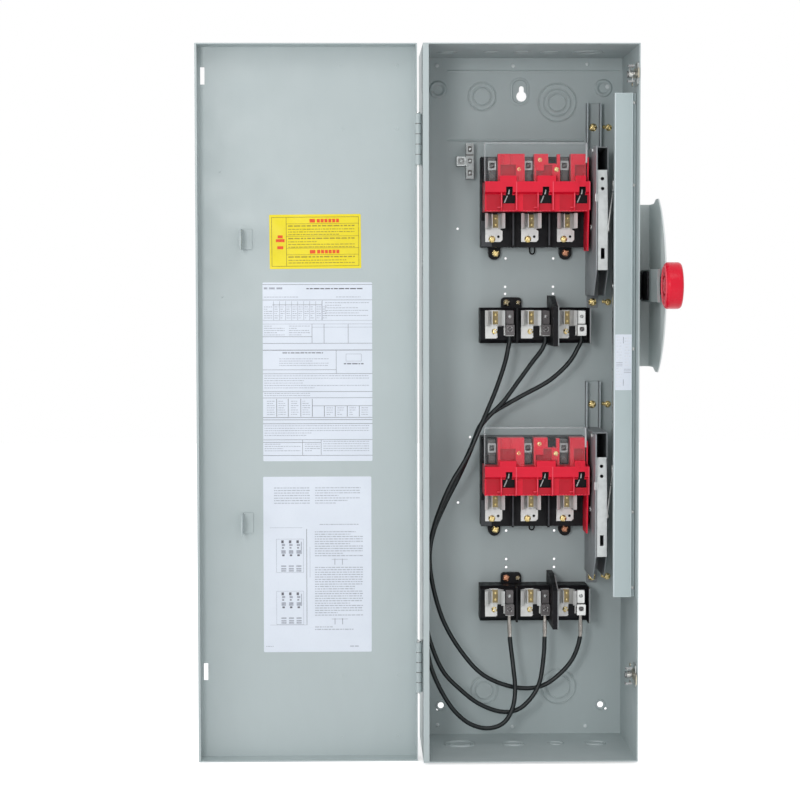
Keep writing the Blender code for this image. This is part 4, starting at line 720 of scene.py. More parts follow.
# ---------- places
SHEET = 1.6                              # thickness of the steel
TRACE = 0.1                              # overlap that keeps faces out of one plane
BOX_LOW, BOX_HIGH = box("enclosure")
COVER_LOW, COVER_HIGH = box("mechanism_cover")
PANEL = BOX_HIGH.y - SHEET               # inner face of the back panel
DOOR_FACE = box("door_panel")[1].y - SHEET  # face of the open door
AXIS_DROP = 64                           # from a red shield's top to the rotor's axis
AXIS_Z = {side: box("red_shield_" + side)[1].z - AXIS_DROP for side in PAIR}
POLE_X = [sum(corner.x for corner in box("line_clip_upper_%d" % pole)) / 2 for pole in POLES]
SEAT = box("line_clip_upper_1")[1].y     # front of the switch bases
CLIP_FACE = SEAT - 1.4                   # front of the clips' floors
CLIP_HALF = 11                           # half a clip's height
LOAD_Z = {side: box("load_clip_%s_1" % side)[1].z - CLIP_HALF for side in PAIR}


# ---------- enclosure
# Knockouts: two coordinates in the wall, and the radii of the rings.
PANEL_KNOCKOUTS = ((-57.5, 442.5, (20.5, 13.5)), (52.6, 433.8, (28, 20, 13.5)),
                   (-54, -433, (20.5, 13.5)), (56, -428, (26, 18)))
END_KNOCKOUTS = ((BOX_HIGH.z, ((-112, -80, (14, 10)), (-50, -86, (11,)), (-6, -86, (11,)),
                               (34, -86, (14, 10)), (88, -84, (22, 16)))),
                 (BOX_LOW.z, ((-94, -72, (22, 16)), (-16, -72, (16, 11)), (46, -72, (11,)),
                              (104, -72, (15, 11)))))
PANEL_HOLES = ((-93.4, 249.8), (-23.5, 164.6), (47, 164.6), (-23.5, 154.3), (47, 154.3),
               (-75, -56.5), (-92.8, -153.5), (-21.6, -237.8), (49.5, -237.8), (-21.6, -249.8),
               (49.5, -249.8), (-22.8, 206.3), (47.2, 206.2), (-21.6, -195.5), (49.5, -195.5),
               (-123.6, -461.4), (126.4, -461.8))
HOLE_RADIUS = 1.8
GROOVE = 1.4                             # width of a ring cut round a knockout
GROOVE_DEPTH = 0.7
RIDGE = 1.1                              # half the width of the ridge inside it
RIDGE_RISE = 0.9
PLUG_HOLES = ((-118.5, 455.5), (118.5, 455.5))
PADS = ((-121.9, 452.6), (120.5, 455))        # pressed round the plugged upper holes
HOLE_RIMS = ((-118.5, -455.5), (118.5, -455.5))  # round the open lower holes
KEYHOLE = ((-2.4, 443), (-2.4, 456))        # centres of its lower and upper arcs
PANEL_CREASES = ((479.7, -108.7, 145.1), (378.4, -108.8, 92))  # height, left and right
WELD_MARKS = ((-123.3, 487.6), (-12, 487.6), (96.5, 490), (-123.3, -485),
              (-12, -488), (96.5, -488))
# A painted light spot beside the right upper pad.
PAD_LIGHT_SPOTS = ((126.2, 457),)
KNUCKLES = 5
KNUCKLE_RADIUS = 4


def groove(tool, centre, axis, radius, middle):
    """A ring to cut half its depth into the face at middle."""
    low, high = middle - GROOVE_DEPTH, middle + GROOVE_DEPTH
    tool.ring(centre, axis, [(radius, low), (radius + GROOVE, low), (radius + GROOVE, high),
                             (radius, high)], 40)


def enclosure_cutter():
    """Knockout rings on both faces of the sheet and holes right through it."""
    tool = Form("panel_cutter")
    for x, z, radii in PANEL_KNOCKOUTS:
        for radius in radii:
            for face in (PANEL, BOX_HIGH.y):
                groove(tool, (x, 0, z), "y", radius, face)
    for outer, marks in END_KNOCKOUTS:
        for x, y, radii in marks:
            for radius in radii:
                for face in (outer - math.copysign(SHEET, outer), outer):
                    groove(tool, (x, y, 0), "z", radius, face)
    for centre in PANEL_HOLES:
        tool.prism(disc(centre, HOLE_RADIUS, 12), "y", PANEL - 2, BOX_HIGH.y + 2)
    return tool.cutter()


def ridge_ring(form, centre, axis, radius, out):
    """A low round ridge beside a knockout's cut line."""
    foot, top = -TRACE * out, RIDGE_RISE * out
    form.ring(centre, axis, [(radius - 2 * RIDGE, foot), (radius - 1.3 * RIDGE, top),
                             (radius - 0.7 * RIDGE, top), (radius, foot)], 40)


def add_panel_forms():
    """Ridges, darker ridges that paint the shade at the cut lines, a raised keyhole rim, corner
    pads with plugs, and weld marks with a painted highlight.
    """
    form = Form("panel_pressings", "paint")
    # Darker ridges beside the cut lines on the panel and the end walls: painted shade.
    dark = Form("panel_cut_line_shade", "paint", GROOVE_SHADE_PAINT)
    for x, z, radii in PANEL_KNOCKOUTS:
        for radius in radii:
            ridge_ring(form, (x, PANEL, z), "y", radius, -1)
            ridge_ring(dark, (x, PANEL + 0.8, z), "y", radius + 1.6 * RIDGE, -1)
    for outer, marks in END_KNOCKOUTS:
        out = -math.copysign(1, outer)
        for x, y, radii in marks:
            for radius in radii:
                ridge_ring(dark, (x, y, outer + out * SHEET), "z", radius, out)
    form.scatter(PADS, PANEL, [(13.4, TRACE), (11.8, -2.2), (10.4, -2.6), (8.8, -2.4),
                               (6.4, TRACE)], 40, hollow=True)
    form.scatter(HOLE_RIMS, PANEL, [(8.1, TRACE), (7, -1.6), (5.8, -1.6), (4.6, TRACE)], 32,
                 hollow=True)
    form.loft([oval(*KEYHOLE, radius) for radius in (14.6, 12.8, 11.2, 9.8)], "y",
              (PANEL + TRACE, PANEL - 1.8, PANEL - 1.8, PANEL + TRACE), hollow=True)
    for z, left, right in PANEL_CREASES:
        form.loft([rectangle((left, z - 2), (right, z + 2)),
                   rectangle((left + 1, z - 0.4), (right - 1, z + 0.4))], "y",
                  (PANEL + TRACE, PANEL - 1.2))
    # Weld marks in pale paint are painted highlights; the spot beside the right pad is painted
    # light.
    marks = Form("panel_weld_mark_highlights", "paint", HIGHLIGHT_PAINT)
    marks.scatter(WELD_MARKS, PANEL, [(3, TRACE), (2.5, -1.2), (1.2, -1.9)], 16)
    marks.scatter(PAD_LIGHT_SPOTS, PANEL - 1.6, [(3.4, 0.4), (3.1, -1.4), (1.6, -2.1)], 16)
    marks.finish(0)
    form.scatter(PLUG_HOLES, BOX_HIGH.y, [(4.4, -0.4), (4.4, -1), (3.6, -1.4), (1.2, -1.4)])
    form.finish(0)
    dark.finish(0)


def add_panel_screws():
    """Screws that hold the bases and the mechanisms to the back panel."""
    form = Form("panel_screws", "brass")
    dull = Form("panel_screws_copper", "copper")
    olive = Form("panel_screws_olive", "brass", OLIVE)
    for side in PAIR:
        axis_z, load_z = AXIS_Z[side], LOAD_Z[side]
        form.screw((POLE_X[0] + 4.8, -12, axis_z - 76.2), 5.5)
        dull.screw((POLE_X[2] + 3.3, -12, axis_z - 75.6), 5.3)
        load_screw = olive if side == "upper" else dull
        load_screw.screw((-22.2, -12, load_z + 21.5), 5.2)
        olive.screw((-5, -12, load_z + 21.5), 3.6)
        low, high = box("mechanism_frame_" + side)
        for z in (high.z - 34.5, low.z - 10):
            form.screw(((low.x + high.x) / 2, high.y - 1.8, z), 5.8)
            form.screw((high.x + 12.6, PANEL, z), 5)
            form.screw((high.x + 6, PANEL, z + 0.8), 2.8)
    finish(form, dull, olive)


def add_ground_forms():
    """Set screws on dark plates that paint the recesses' shade, the bar's saw cut and the side
    lug's rim.
    """
    low, high = box("ground_lug")
    middle = (low.z + high.z) / 2
    left, x = high.x - 11, high.x - 5.5
    dark = Form("ground_recess_shade", "plated", LUG_STEEL)
    bright = Form("ground_screws", "plated", ARM_ZINC)
    dark.block((left, low.y - 0.2, middle + 7.4), (high.x, low.y + TRACE, middle + 10))
    # Dark plates round the set screws: painted shade of the recesses.
    for rise, half in ((17.2, 4.4), (0, 3.6), (-17.2, 4.4)):
        z = middle + rise
        dark.plate((x - 3, z - half), (x + 3, z + half), 1.2, low.y - 0.3, low.y + TRACE)
        bright.screw((x, low.y - 0.3, z), 2.2, cuts=2)
    face = low.y + 6.6
    bright.frame(rounded((low.x, middle - 6.7), (left - 0.6, middle + 6.7), 0.8),
                 rounded((low.x + 1.4, middle - 5.3), (left - 2, middle + 5.3), 0.8),
                 face - 0.8, face + TRACE)
    lug = ((low.x + left) / 2, face, middle)
    dark.ring(lug, "y", [(4.1, TRACE), (4.1, -0.4), (3.1, -0.4), (3.1, TRACE)])
    bright.screw(lug, 2.4, cuts=2)
    dark.finish(0)
    bright.finish()


def add_hinge_gaps():
    """Dark rings where the knuckles of the two leaves meet."""
    inner, outer = KNUCKLE_RADIUS - 0.2, KNUCKLE_RADIUS + 0.15
    for side in PAIR:
        low, high = box("hinge_box_leaf_" + side)
        form = Form("hinge_gaps_" + side, "paint", LUG_STEEL)
        for cut in range(1, KNUCKLES):
            z = low.z + (high.z - low.z) * cut / KNUCKLES
            form.ring((low.x + KNUCKLE_RADIUS, low.y + KNUCKLE_RADIUS, z), "z",
                      [(inner, -0.5), (outer, -0.5), (outer, 0.5), (inner, 0.5)])
        form.finish(0)


# ---------- door
DIMPLES = ((-264.5, 474.4), (-184.6, 474.4), (-262, 386.5), (-184.7, 386.5))  # and mirrored
DOOR_MARKS = ((-432.6, 326.5), (-430.2, 150.5))


def add_door_forms():
    form = Form("door_dimples", "paint", body="door")
    for out in (1, -1):
        form.scatter([(x, out * z) for x, z in DIMPLES], DOOR_FACE,
                     [(2.6, TRACE), (2.2, -0.4), (1.4, -0.4), (0.9, TRACE)], 16, hollow=True)
    form.scatter(DOOR_MARKS, DOOR_FACE, [(1.6, TRACE), (1.2, -0.4), (0.4, -0.5)], 12)
    form.finish(0)


class Label:
    """A film label on a flat face, printed in shares of its size from the upper left corner."""
    FULL_ROWS = 0.7              # share of the rows that reach the right edge
    SHORT_ROW = (0.35, 0.9)      # length of the others
    LETTER = 1.8                 # a letter's width and gap, against its height
    WORD = (0.8, 3.2)            # letters in a bar
    SPACE = 0.9                  # gap between bars, against their height
    TYPE = (3.1, 0.8)            # pitch and height of small print in millimetres

    def __init__(self, name, look, low, high, face, body, tilt=0, corner=1.5):
        self.name, self.face, self.body, self.tilt = name, face, body, tilt
        self.left, self.top = low[0], high[1]
        self.wide, self.tall = high[0] - low[0], high[1] - low[1]
        self.centre = ((low[0] + high[0]) / 2, face, (low[1] + high[1]) / 2)
        self.layers = {}
        sheet = Form(name, "paint", look, body)
        sheet.plate(low, high, corner, face - 0.2, face + TRACE)
        self.lay(sheet)

    def lay(self, form):
        form.turn(self.tilt, self.centre)
        form.finish(0)

    def bar(self, look, left, top, right, bottom):
        if look.name not in self.layers:
            self.layers[look.name] = Form(self.name + "_" + look.name, "paint", look, self.body)
        self.layers[look.name].block(
            (self.left + self.wide * left, self.face - 0.3, self.top - self.tall * bottom),
            (self.left + self.wide * right, self.face - TRACE, self.top - self.tall * top))

    def levels(self, look, weight, *lines):
        """Level lines, each down, left and right; weight in millimetres."""
        half = weight / self.tall / 2
        for down, left, right in lines:
            self.bar(look, left, down - half, right, down + half)

    def uprights(self, look, weight, *lines):
        """Upright lines, each across, top and bottom."""
        half = weight / self.wide / 2
        for across, top, bottom in lines:
            self.bar(look, across - half, top, across + half, bottom)

    def box(self, look, left, top, right, bottom, weight=0.5):
        self.levels(look, weight, (top, left, right), (bottom, left, right))
        self.uprights(look, weight, (left, top, bottom), (right, top, bottom))

    def print_rows(self, look, *fields):
        """Rows of short bars; a field is seed, left, top, right, bottom, then pitch and height."""
        for seed, left, top, right, bottom, *size in fields:
            pitch, height = size or self.TYPE
            chance = random.Random(seed)
            down = top
            while down + height / self.tall <= bottom:
                end = right
                if chance.random() >= self.FULL_ROWS:
                    end = left + (right - left) * chance.uniform(*self.SHORT_ROW)
                across = left
                while across < end - 0.004:
                    word = chance.uniform(*self.WORD) * height * self.LETTER / self.wide
                    word = min(end - across, word)
                    self.bar(look, across, down, across + word, down + height / self.tall)
                    across += word + self.SPACE * height / self.wide
                down += pitch / self.tall

    def finish(self):
        for layer in self.layers.values():
            self.lay(layer)


def add_yellow_label():
    label = Label("label_yellow", YELLOW_FILM, (-364.3, 190.6), (-235.7, 266.8), DOOR_FACE, "door",
                  math.radians(-0.5))
    label.box(BROWN_INK, 0.025, 0.05, 0.975, 0.95, 0.8)
    label.uprights(BROWN_INK, 0.8, (0.185, 0.05, 0.95))
    label.levels(BROWN_INK, 0.6, *((down, 0.185, 0.975) for down in (0.17, 0.4, 0.62, 0.74)))
    for top in (0.085, 0.655):
        label.bar(RED_INK, 0.44, top, 0.5, top + 0.065)
        for word in range(6):
            label.bar(RED_INK, 0.52 + 0.042 * word, top, 0.552 + 0.042 * word, top + 0.065)
    for number, (top, bottom) in enumerate(((0.2, 0.4), (0.43, 0.62), (0.77, 0.92))):
        label.print_rows(BROWN_INK, (11 + number, 0.205, top, 0.93, top + 0.04, 4, 1.7),
                         (21 + number, 0.205, top + 0.065, 0.93, bottom, 3.7, 1.1))
    for top, left, right in ((0.38, 0.09, 0.145), (0.45, 0.07, 0.165), (0.58, 0.085, 0.15)):
        label.bar(RED_INK, left, top, right, top + 0.055)
    label.finish()


def add_rating_label():
    label = Label("label_rating", WHITE_FILM, (-374.4, -80.8), (-220.2, 171.4), DOOR_FACE, "door")
    label.levels(INK, 0.5, (0.012, 0, 1), (0.098, 0, 1), (0.125, 0.09, 0.54), (0.303, 0, 0.45),
                 (0.34, 0, 1), (0.488, 0, 0.67), (0.51, 0, 1), (0.61, 0, 1), (0.645, 0, 1),
                 (0.69, 0.45, 1), (0.88, 0, 1), (0.895, 0, 0.53), (0.968, 0, 1))
    label.levels(INK, 0.8, (0.378, 0, 1))
    label.levels(INK, 0.6, (0.755, 0, 1), (0.768, 0, 1), (0.79, 0, 1))
    label.levels(PALE_INK, 0.5, (0.212, 0, 1), (0.232, 0, 1), (0.25, 0.45, 1))
    label.uprights(INK, 0.5, (0.45, 0.232, 0.34), (0.56, 0.232, 0.34), (0.78, 0.232, 0.34),
                   (0.67, 0.378, 0.51), (0.36, 0.88, 0.965), (0.53, 0.88, 0.965))
    label.uprights(PALE_INK, 0.5, (0.545, 0.098, 0.212))
    label.box(PALE_INK, 0.76, 0.4, 0.9, 0.44)
    for column in range(9):
        across = 0.1 + 0.055 * column
        label.uprights(PALE_INK, 0.6, (across, 0.105, 0.21))
        label.print_rows(PALE_INK, (40 + column, across + 0.008, 0.135, across + 0.045, 0.205))
    for columns, top, first_row, left, right in (
            ((0.125, 0.23, 0.345, 0.45), 0.65, 0.662, -0.09, -0.02),
            ((0.56, 0.66, 0.77, 0.88), 0.69, 0.7, 0.02, 0.08)):
        for across in columns:
            label.uprights(INK, 0.7, (across, top, 0.75))
            label.print_rows(PALE_INK, (int(70 + 100 * across), across + left, first_row,
                                        across + right, 0.745))
    label.print_rows(
        PALE_INK, (31, 0.012, 0.028, 0.18, 0.045, 9, 2.6), (33, 0.012, 0.08, 0.33, 0.088),
        (34, 0.67, 0.08, 0.9, 0.088), (50, 0.012, 0.135, 0.088, 0.205),
        (51, 0.57, 0.112, 0.97, 0.2, 3.6, 0.8), (52, 0.012, 0.242, 0.2, 0.295),
        (53, 0.24, 0.242, 0.43, 0.295), (57, 0.15, 0.425, 0.6, 0.47),
        (59, 0.012, 0.52, 0.97, 0.6, 3.4, 0.8), (60, 0.012, 0.618, 0.43, 0.64),
        (61, 0.012, 0.8, 0.97, 0.868, 3.4, 0.8), (62, 0.012, 0.903, 0.34, 0.955),
        (63, 0.38, 0.903, 0.52, 0.955), (64, 0.55, 0.888, 0.97, 0.955, 3.3, 0.8))
    label.print_rows(
        INK, (32, 0.4, 0.032, 0.92, 0.04, 9, 1.5), (54, 0.02, 0.389, 0.16, 0.396, 9, 2),
        (55, 0.18, 0.391, 0.55, 0.396, 9, 1.2), (56, 0.19, 0.408, 0.49, 0.414, 9, 1.7),
        (58, 0.74, 0.452, 0.92, 0.458, 9, 1.4))
    label.finish()


# One pole in the outline drawing: left, top, right and bottom from its own place.
TERMINAL_PRINT = ((INK, 0, 0.362, 0.022, 0.378), (PALE_INK, 0.004, 0.382, 0.034, 0.395),
                  (INK, 0.006, 0.402, 0.024, 0.408), (PALE_INK, 0, 0.418, 0.04, 0.438),
                  (INK, 0.008, 0.442, 0.03, 0.452), (PALE_INK, -0.002, 0.505, 0.045, 0.513),
                  (PALE_INK, -0.002, 0.52, 0.045, 0.528), (PALE_INK, -0.002, 0.532, 0.045, 0.54))


def add_wiring_label():
    """Two columns of print over a plain outline drawing of rows of terminals."""
    label = Label("label_wiring", WHITE_FILM, (-374.8, -352.5), (-221.9, -102.8), DOOR_FACE, "door")
    label.print_rows(
        PALE_INK, (81, 0.1, 0.062, 0.43, 0.165, 3.6, 1), (82, 0.48, 0.062, 0.9, 0.165, 3.6, 1),
        (83, 0.52, 0.27, 0.88, 0.285, 3.6, 1), (84, 0.475, 0.312, 0.92, 0.455, 3.4, 1.1),
        (85, 0.475, 0.515, 0.92, 0.8, 3.4, 1.1), (86, 0.475, 0.855, 0.92, 0.88, 3.4, 1.1),
        (91, 0.02, 0.965, 0.09, 0.972), (92, 0.8, 0.965, 0.89, 0.972, 4, 1.4))
    for top in (0.467, 0.808):
        label.uprights(PALE_INK, 1, (0.66, top, top + 0.035), (0.73, top, top + 0.035))
        label.levels(PALE_INK, 0.6, (top + 0.004, 0.63, 0.78))
    label.uprights(INK, 0.6, (0.4, 0.297, 0.845))
    label.uprights(PALE_INK, 0.4, (0.43, 0.4, 0.575))
    label.levels(PALE_INK, 0.4, (0.29, 0.06, 0.36), (0.845, 0.06, 0.4))
    for shift in (0, 0.297):
        label.box(PALE_INK, 0.12, 0.355 + shift, 0.37, 0.545 + shift, 0.4)
        label.uprights(PALE_INK, 1.2, (0.35, 0.37 + shift, 0.44 + shift))
        for column in range(3):
            across = 0.165 + 0.07 * column
            for look, left, top, right, bottom in TERMINAL_PRINT:
                label.bar(look, across + left, top + shift, across + right, bottom + shift)
    label.finish()


def add_cover_label():
    """A pale strip over the whole width of the cover's face, nearly bare."""
    left = COVER_LOW.x + 1.6
    label = Label("label_cover", WHITE_FILM, (left, 20), (left + 23.4, 98), COVER_LOW.y, "cabinet",
                  corner=1)
    for top in (0.045, 0.805):
        label.bar(PALE_INK, 0.47, top, 0.51, top + 0.115)
    label.print_rows(FAINT_INK, (95, 0.06, 0.04, 0.4, 0.46, 4.2, 1),
                     (96, 0.56, 0.06, 0.94, 0.58, 4.2, 1), (97, 0.06, 0.6, 0.4, 0.94, 4.2, 1))
    for row in (0.5, 0.53, 0.56):
        label.bar(PALE_INK, 0.05, row, 0.44, row + 0.008)
        label.bar(PALE_INK, 0.52, row + 0.12, 0.95, row + 0.128)
    label.finish()


# ---------- switches
# Outlines right of the first pole's clip and above the rotor's axis.
TOWER_POCKETS = (rectangle((6.7, 32.2), (28.6, 48.4)),
                 [(57.5, 32.2), (80.4, 32.2), (80.4, 48.4), (68.6, 48.4), (68.6, 39.7),
                  (57.5, 39.7)],
                 rectangle((112.7, 32.2), (127, 48.4)))
TOWER_NOTCH = rectangle((74.8, 50), (88, 70))
POCKET_BACK = -84.2
TRAY = (-99.3, -98.5)                    # front and back of the red trays at the blades' slots
WINDOW_X = 17.9                          # middle of a key-shaped window, from its clip


def shield_cutter(side):
    """Pockets and a missing corner in the towers of a red shield."""
    tool = Form("shield_cutter_" + side, at=(POLE_X[0], 0, AXIS_Z[side]))
    for outline in TOWER_POCKETS:
        tool.prism(outline, "y", -100, -83.5)
    tool.prism(TOWER_NOTCH, "y", -100, -64)
    return tool.cutter()


def add_shield_towers(side, trays, red, brass):
    """Trays in a darker red behind the towers' pockets, which paints their shade, and the towers'
    brows, ribs, post and screws.
    """
    move((trays, red, brass), POLE_X[0], 0, AXIS_Z[side])
    for outline in TOWER_POCKETS:
        xs, zs = zip(*outline)
        trays.prism(rectangle((min(xs) - 1, min(zs) - 1), (max(xs) + 1, max(zs) + 1)), "y",
                    POCKET_BACK, POCKET_BACK + 1.2)
    for left in (8.7, 20.8):             # ribs on the first tower's brow
        red.block((left, -92.8, 49), (left + 1.6, -88, 63.2))
    red.block((87, -91, 24.2), (91.6, -80, 63.2))
    red.plate((80.8, 33), (91.6, 48.8), 3, -90.5, -88)
    red.block((57.5, -92.5, 39.7), (68.6, -85, 48.8))
    for number in range(4):
        left = 112.8 + 1.9 * number
        red.block((left, -108.6, 21.5), (left + 1.1, -107, 31))
    for left, right in ((4.3, 28.4), (57.5, 84.7), (112, 127)):
        red.block((left, -107.8, 23.6), (right, -95.3, 32.2))
    for across, up, face in ((33, 41.8, -89.5), (62.8, 54.8, -88.5), (86.6, 41.5, -90.5)):
        brass.screw((across, face, up), 3.6, height=0.4)


def add_shield_forms(side):
    """The towers' forms, and at each pole the slots' trays in a darker red that paints their shade,
    ribs in a brighter red that paints their highlight, a black sheet that paints the shade seen
    through the window, and a spring.
    """
    trays = Form("shield_trays_" + side, "red_plastic", SHADED_RECESS_RED)
    red = Form("shield_forms_" + side, "red_plastic")
    # Ribs in a brighter red: a painted highlight.
    ribs = Form("shield_ribs_" + side, "red_plastic", RIB_HIGHLIGHT_RED)
    brass = Form("shield_screws_" + side, "brass")
    core = Form("window_shade_cores_" + side, "phenolic")
    glint = Form("window_springs_" + side, "plated", DULL)
    add_shield_towers(side, trays, red, brass)
    for x in POLE_X:
        move((trays, ribs), x, 0, AXIS_Z[side])
        # Darker red trays at the blades' slots: painted shade.
        trays.prism(rectangle((-14, -16.6), (6, 5.7)), "y", *TRAY)
        trays.prism([(7.6, -16.6), (27.5, -16.6), (27.5, 5.7), (26.9, 5.7), (26.9, -7.1),
                     (8.9, -7.1), (8.9, 5.7), (7.6, 5.7)], "y", *TRAY)
        for left, low, high, front in ((6.1, -12.5, 6.8, -107.4), (27.6, -16.5, 23.8, -108.6)):
            ribs.block((left, front, low), (left + 1.4, TRAY[1], high))
        ribs.block((1.5, -104, -13.1), (6.6, TRAY[1], -11.9))
        for step in range(9):
            left = -14 + 4.6 * step
            ribs.block((left, -100.4, -17.8), (left + 2.6, TRAY[1], -16.8))
        move((core, glint), x + WINDOW_X, 0, AXIS_Z[side])
        # A black sheet in each window's outline: painted shade seen through the window.
        core.prism([(-10.5, -15), (10.5, -15), (10.5, 8), (6, 19), (-6, 19), (-10.5, 8)], "y",
                   -93, -90.5)
        glint.prism([(-6.8, -5.5), (-5.2, -6), (-1, 4), (-2.4, 4.6)], "y", -94.2, -93)
        glint.prism([(-1.2, 6), (1.2, 6.6), (1.8, 12.8), (0.4, 13.2)], "y", -94.4, -93)
    finish(trays, red, ribs, brass, core, glint)


def add_wire(name, points, at, radius, slot, look=None, rounds=2):
    """A bent wire; points from at, and its radius, in millimetres."""
    line = [[MM * (start + along) for start, along in zip(at, point)] for point in points]
    wire(name, line, radius * MM, slot, look, rounds)


# The wire catch below a base: two legs and a round end.
CATCH = ((-3.6, 0, 0), (-3.6, 0, -8), (-2.88, 0, -10), (-1.44, 0, -11.2), (0, 0, -11.6),
         (1.44, 0, -11.2), (2.88, 0, -10), (3.6, 0, -8), (3.6, 0, 0))


def add_base_forms(side):
    """Grey nosings that paint a faint highlight on the barriers' edges, and a bent wire catch under
    each line-side base.
    """
    z = AXIS_Z[side]
    grey = Form("barrier_nosings_" + side, "phenolic", GREY_HIGHLIGHT_MOULDING)
    for x in POLE_X[:-1]:
        grey.at = (x + 27, 0, z)
        grey.loft([rectangle((-1.4, -66), (1.4, -20)), rectangle((-0.8, -65), (0.8, -20))], "y",
                  (-61, -62.2))
    grey.at = (0, SEAT, z)
    for left, right in ((POLE_X[0] - 18.2, POLE_X[0] - 3), (88, 89.4)):
        grey.block((left, -0.4, -67.2), (right, 0.4, -30))
    grey.finish()
    add_wire("base_catch_" + side, CATCH, (15.4, -10.5, z - 66), 1.1, "phenolic", rounds=3)


def add_clear_edges(side):
    """Bright cut edges of the clear shield: whitish strips that paint a highlight where light
    leaves the sheet.
    """
    low, high = box("line_shield_" + side)
    form = Form("clear_edges_" + side, "clear_plastic", CLEAR_EDGE_HIGHLIGHT)
    front, back = low.y - TRACE, low.y + 1.4
    form.block((low.x, front, low.z), (low.x + 0.9, back, high.z))
    form.block((high.x - 2.4, front, low.z + 26.5), (high.x, back, high.z))
    form.block((low.x, front, high.z - 0.9), (high.x, back, high.z))
    form.finish()


def add_line_lugs(side):
    """Wire-binding frames, their set screws and the straps' rivets."""
    silver = Form("lug_frames_" + side, "plated", DULL)
    dark = Form("lug_set_screws_" + side, "plated", LUG_STEEL)
    for pole in POLES:
        low = box("line_lug_%s_%d" % (side, pole))[0]
        move((silver, dark), low.x + 5.2, low.y, AXIS_Z[side])
        silver.frame(rounded((-6, 41.6), (6, 55), 1.2), rounded((-3.6, 44.2), (3.6, 52.4), 1),
                     -2.2, 0.6)
        dark.screw((0, 0.1, 48.3), 4, cuts=2)
        dark.plate((-4.6, 26.8), (4.6, 40), 1.6, -1.2, 0.6)
        dark.ring((0, -1.2, 33.4), "y", [(2.6, 0), (2.6, -0.6), (1.4, -0.6), (1.4, 0)], 16)
    finish(silver, dark)


# Across and depth of a clip's flared lip and of its inner spring tongue.
CLIP_LIP = ((9.6, -69.9), (12.8, -74.3), (14.3, -75.2), (14.4, -74.9), (13, -74), (9.9, -69.8))
CLIP_TONGUE = ((-4.6, CLIP_FACE - 0.6), (-3.4, CLIP_FACE - 0.6), (-2.8, -60), (-3.4, -70),
               (-4.4, -70), (-3.8, -60))


def add_clip_forms(side):
    """Screws, spring blades in a near-white plate that paints their highlight, and rivets of the
    fuse clips at both ends.
    """
    z, load_z = AXIS_Z[side], LOAD_Z[side]
    brass = Form("clip_screws_" + side, "brass")
    blade = Form("clip_blades_" + side, "plated", CLIP_HIGHLIGHT_ZINC)
    olive = Form("clip_springs_" + side, "plated", OLIVE)
    black = Form("clip_stops_" + side, "phenolic")
    forms = (brass, blade, olive, black)
    for x in POLE_X:
        for clip_z in (z - 30.5, load_z):
            move(forms, x, 0, clip_z)
            olive.plate((-4, -9.6), (7, 9.6), 1.2, CLIP_FACE - 1.8, CLIP_FACE - 0.6)
            for up in (-5, 4.4):
                brass.lathe((2.4, CLIP_FACE - 1.8, up), "y", [(1.8, 0), (1.8, -0.6), (1, -1)], 12)
            for out in (-1, 1):
                blade.prism([(out * across, y) for across, y in CLIP_LIP], "z", -10.6, 10.6)
            blade.prism(CLIP_TONGUE, "z", -9.8, 9.8)
        move(forms, x, CLIP_FACE, z)
        brass.screw((-2.8, 0, -56.5), 5)
        blade.plate((-11.2, -50), (8.6, -42.4), 0.8, -1.4, 0.2)
        black.plate((-3.6, -21.2), (4, -17.2), 1, -64 - CLIP_FACE, 0)
        move(forms, x, CLIP_FACE, load_z)
        brass.screw((1.4, 0, -19.8), 4.6)
        black.plate((5, -27.5), (14.2, -12), 1, -2.4, 0.4)
    finish(*forms)


def add_load_nosings(side):
    """Pale edges of the load base's tall barrier and end wall: a painted highlight."""
    form = Form("load_nosings_" + side, "phenolic", NOSING_HIGHLIGHT_GREY)
    form.at = (POLE_X[1] + 37, 0, LOAD_Z[side])     # right side of the tall barrier
    form.prism([(-108.3, -39.6), (-108.3, 16), (-54.3, 32.2), (-53.6, 31.6), (-107.6, 15.5),
                (-107.6, -39.6)], "x", -1.3, 0.1)
    form.at = (box("load_base_" + side)[1].x, SEAT, LOAD_Z[side])
    form.block((-1.6, -29.1, -36.4), (0, -28.5, 14))
    form.finish(0)


def add_load_lugs(side):
    """Collars, square bodies and set screws of the lugs that hold the cables."""
    silver = Form("load_lug_bodies_" + side, "plated")
    dark = Form("load_lug_barrels_" + side, "plated", BARREL_SHADE_GREY)
    screws = Form("load_lug_screws_" + side, "plated", DULL)
    forms = (silver, dark, screws)
    for pole in POLES:
        move(forms, box("load_clip_%s_%d" % (side, pole))[1].x - 6, 0, LOAD_Z[side])
        # The first two poles' lugs take the darker copy: painted shade.
        body = silver if pole == 3 else dark
        body.frame(rounded((-6.4, -25.2), (6.4, -9.8), 1),
                   rounded((-3.6, -19.6), (3.6, -12.8), 1.6), -68.8, -65.5)
        dark.screw((0, -66.4, -16.2), 3.4, cuts=2)
        body.loft([rounded((-6.2, -9.5), (6.2, 11), 1.4),
                   rounded((-5.4, -8.7), (5.4, 10.2), 1.4)], "y", (-60, -62.5))
        screws.screw((0, -62.4, 2), 2.6, cuts=2)
    finish(*forms)


# ---------- mechanism
SPRING_TURNS = 14
TURN_STEPS = 16                          # straight steps in a turn


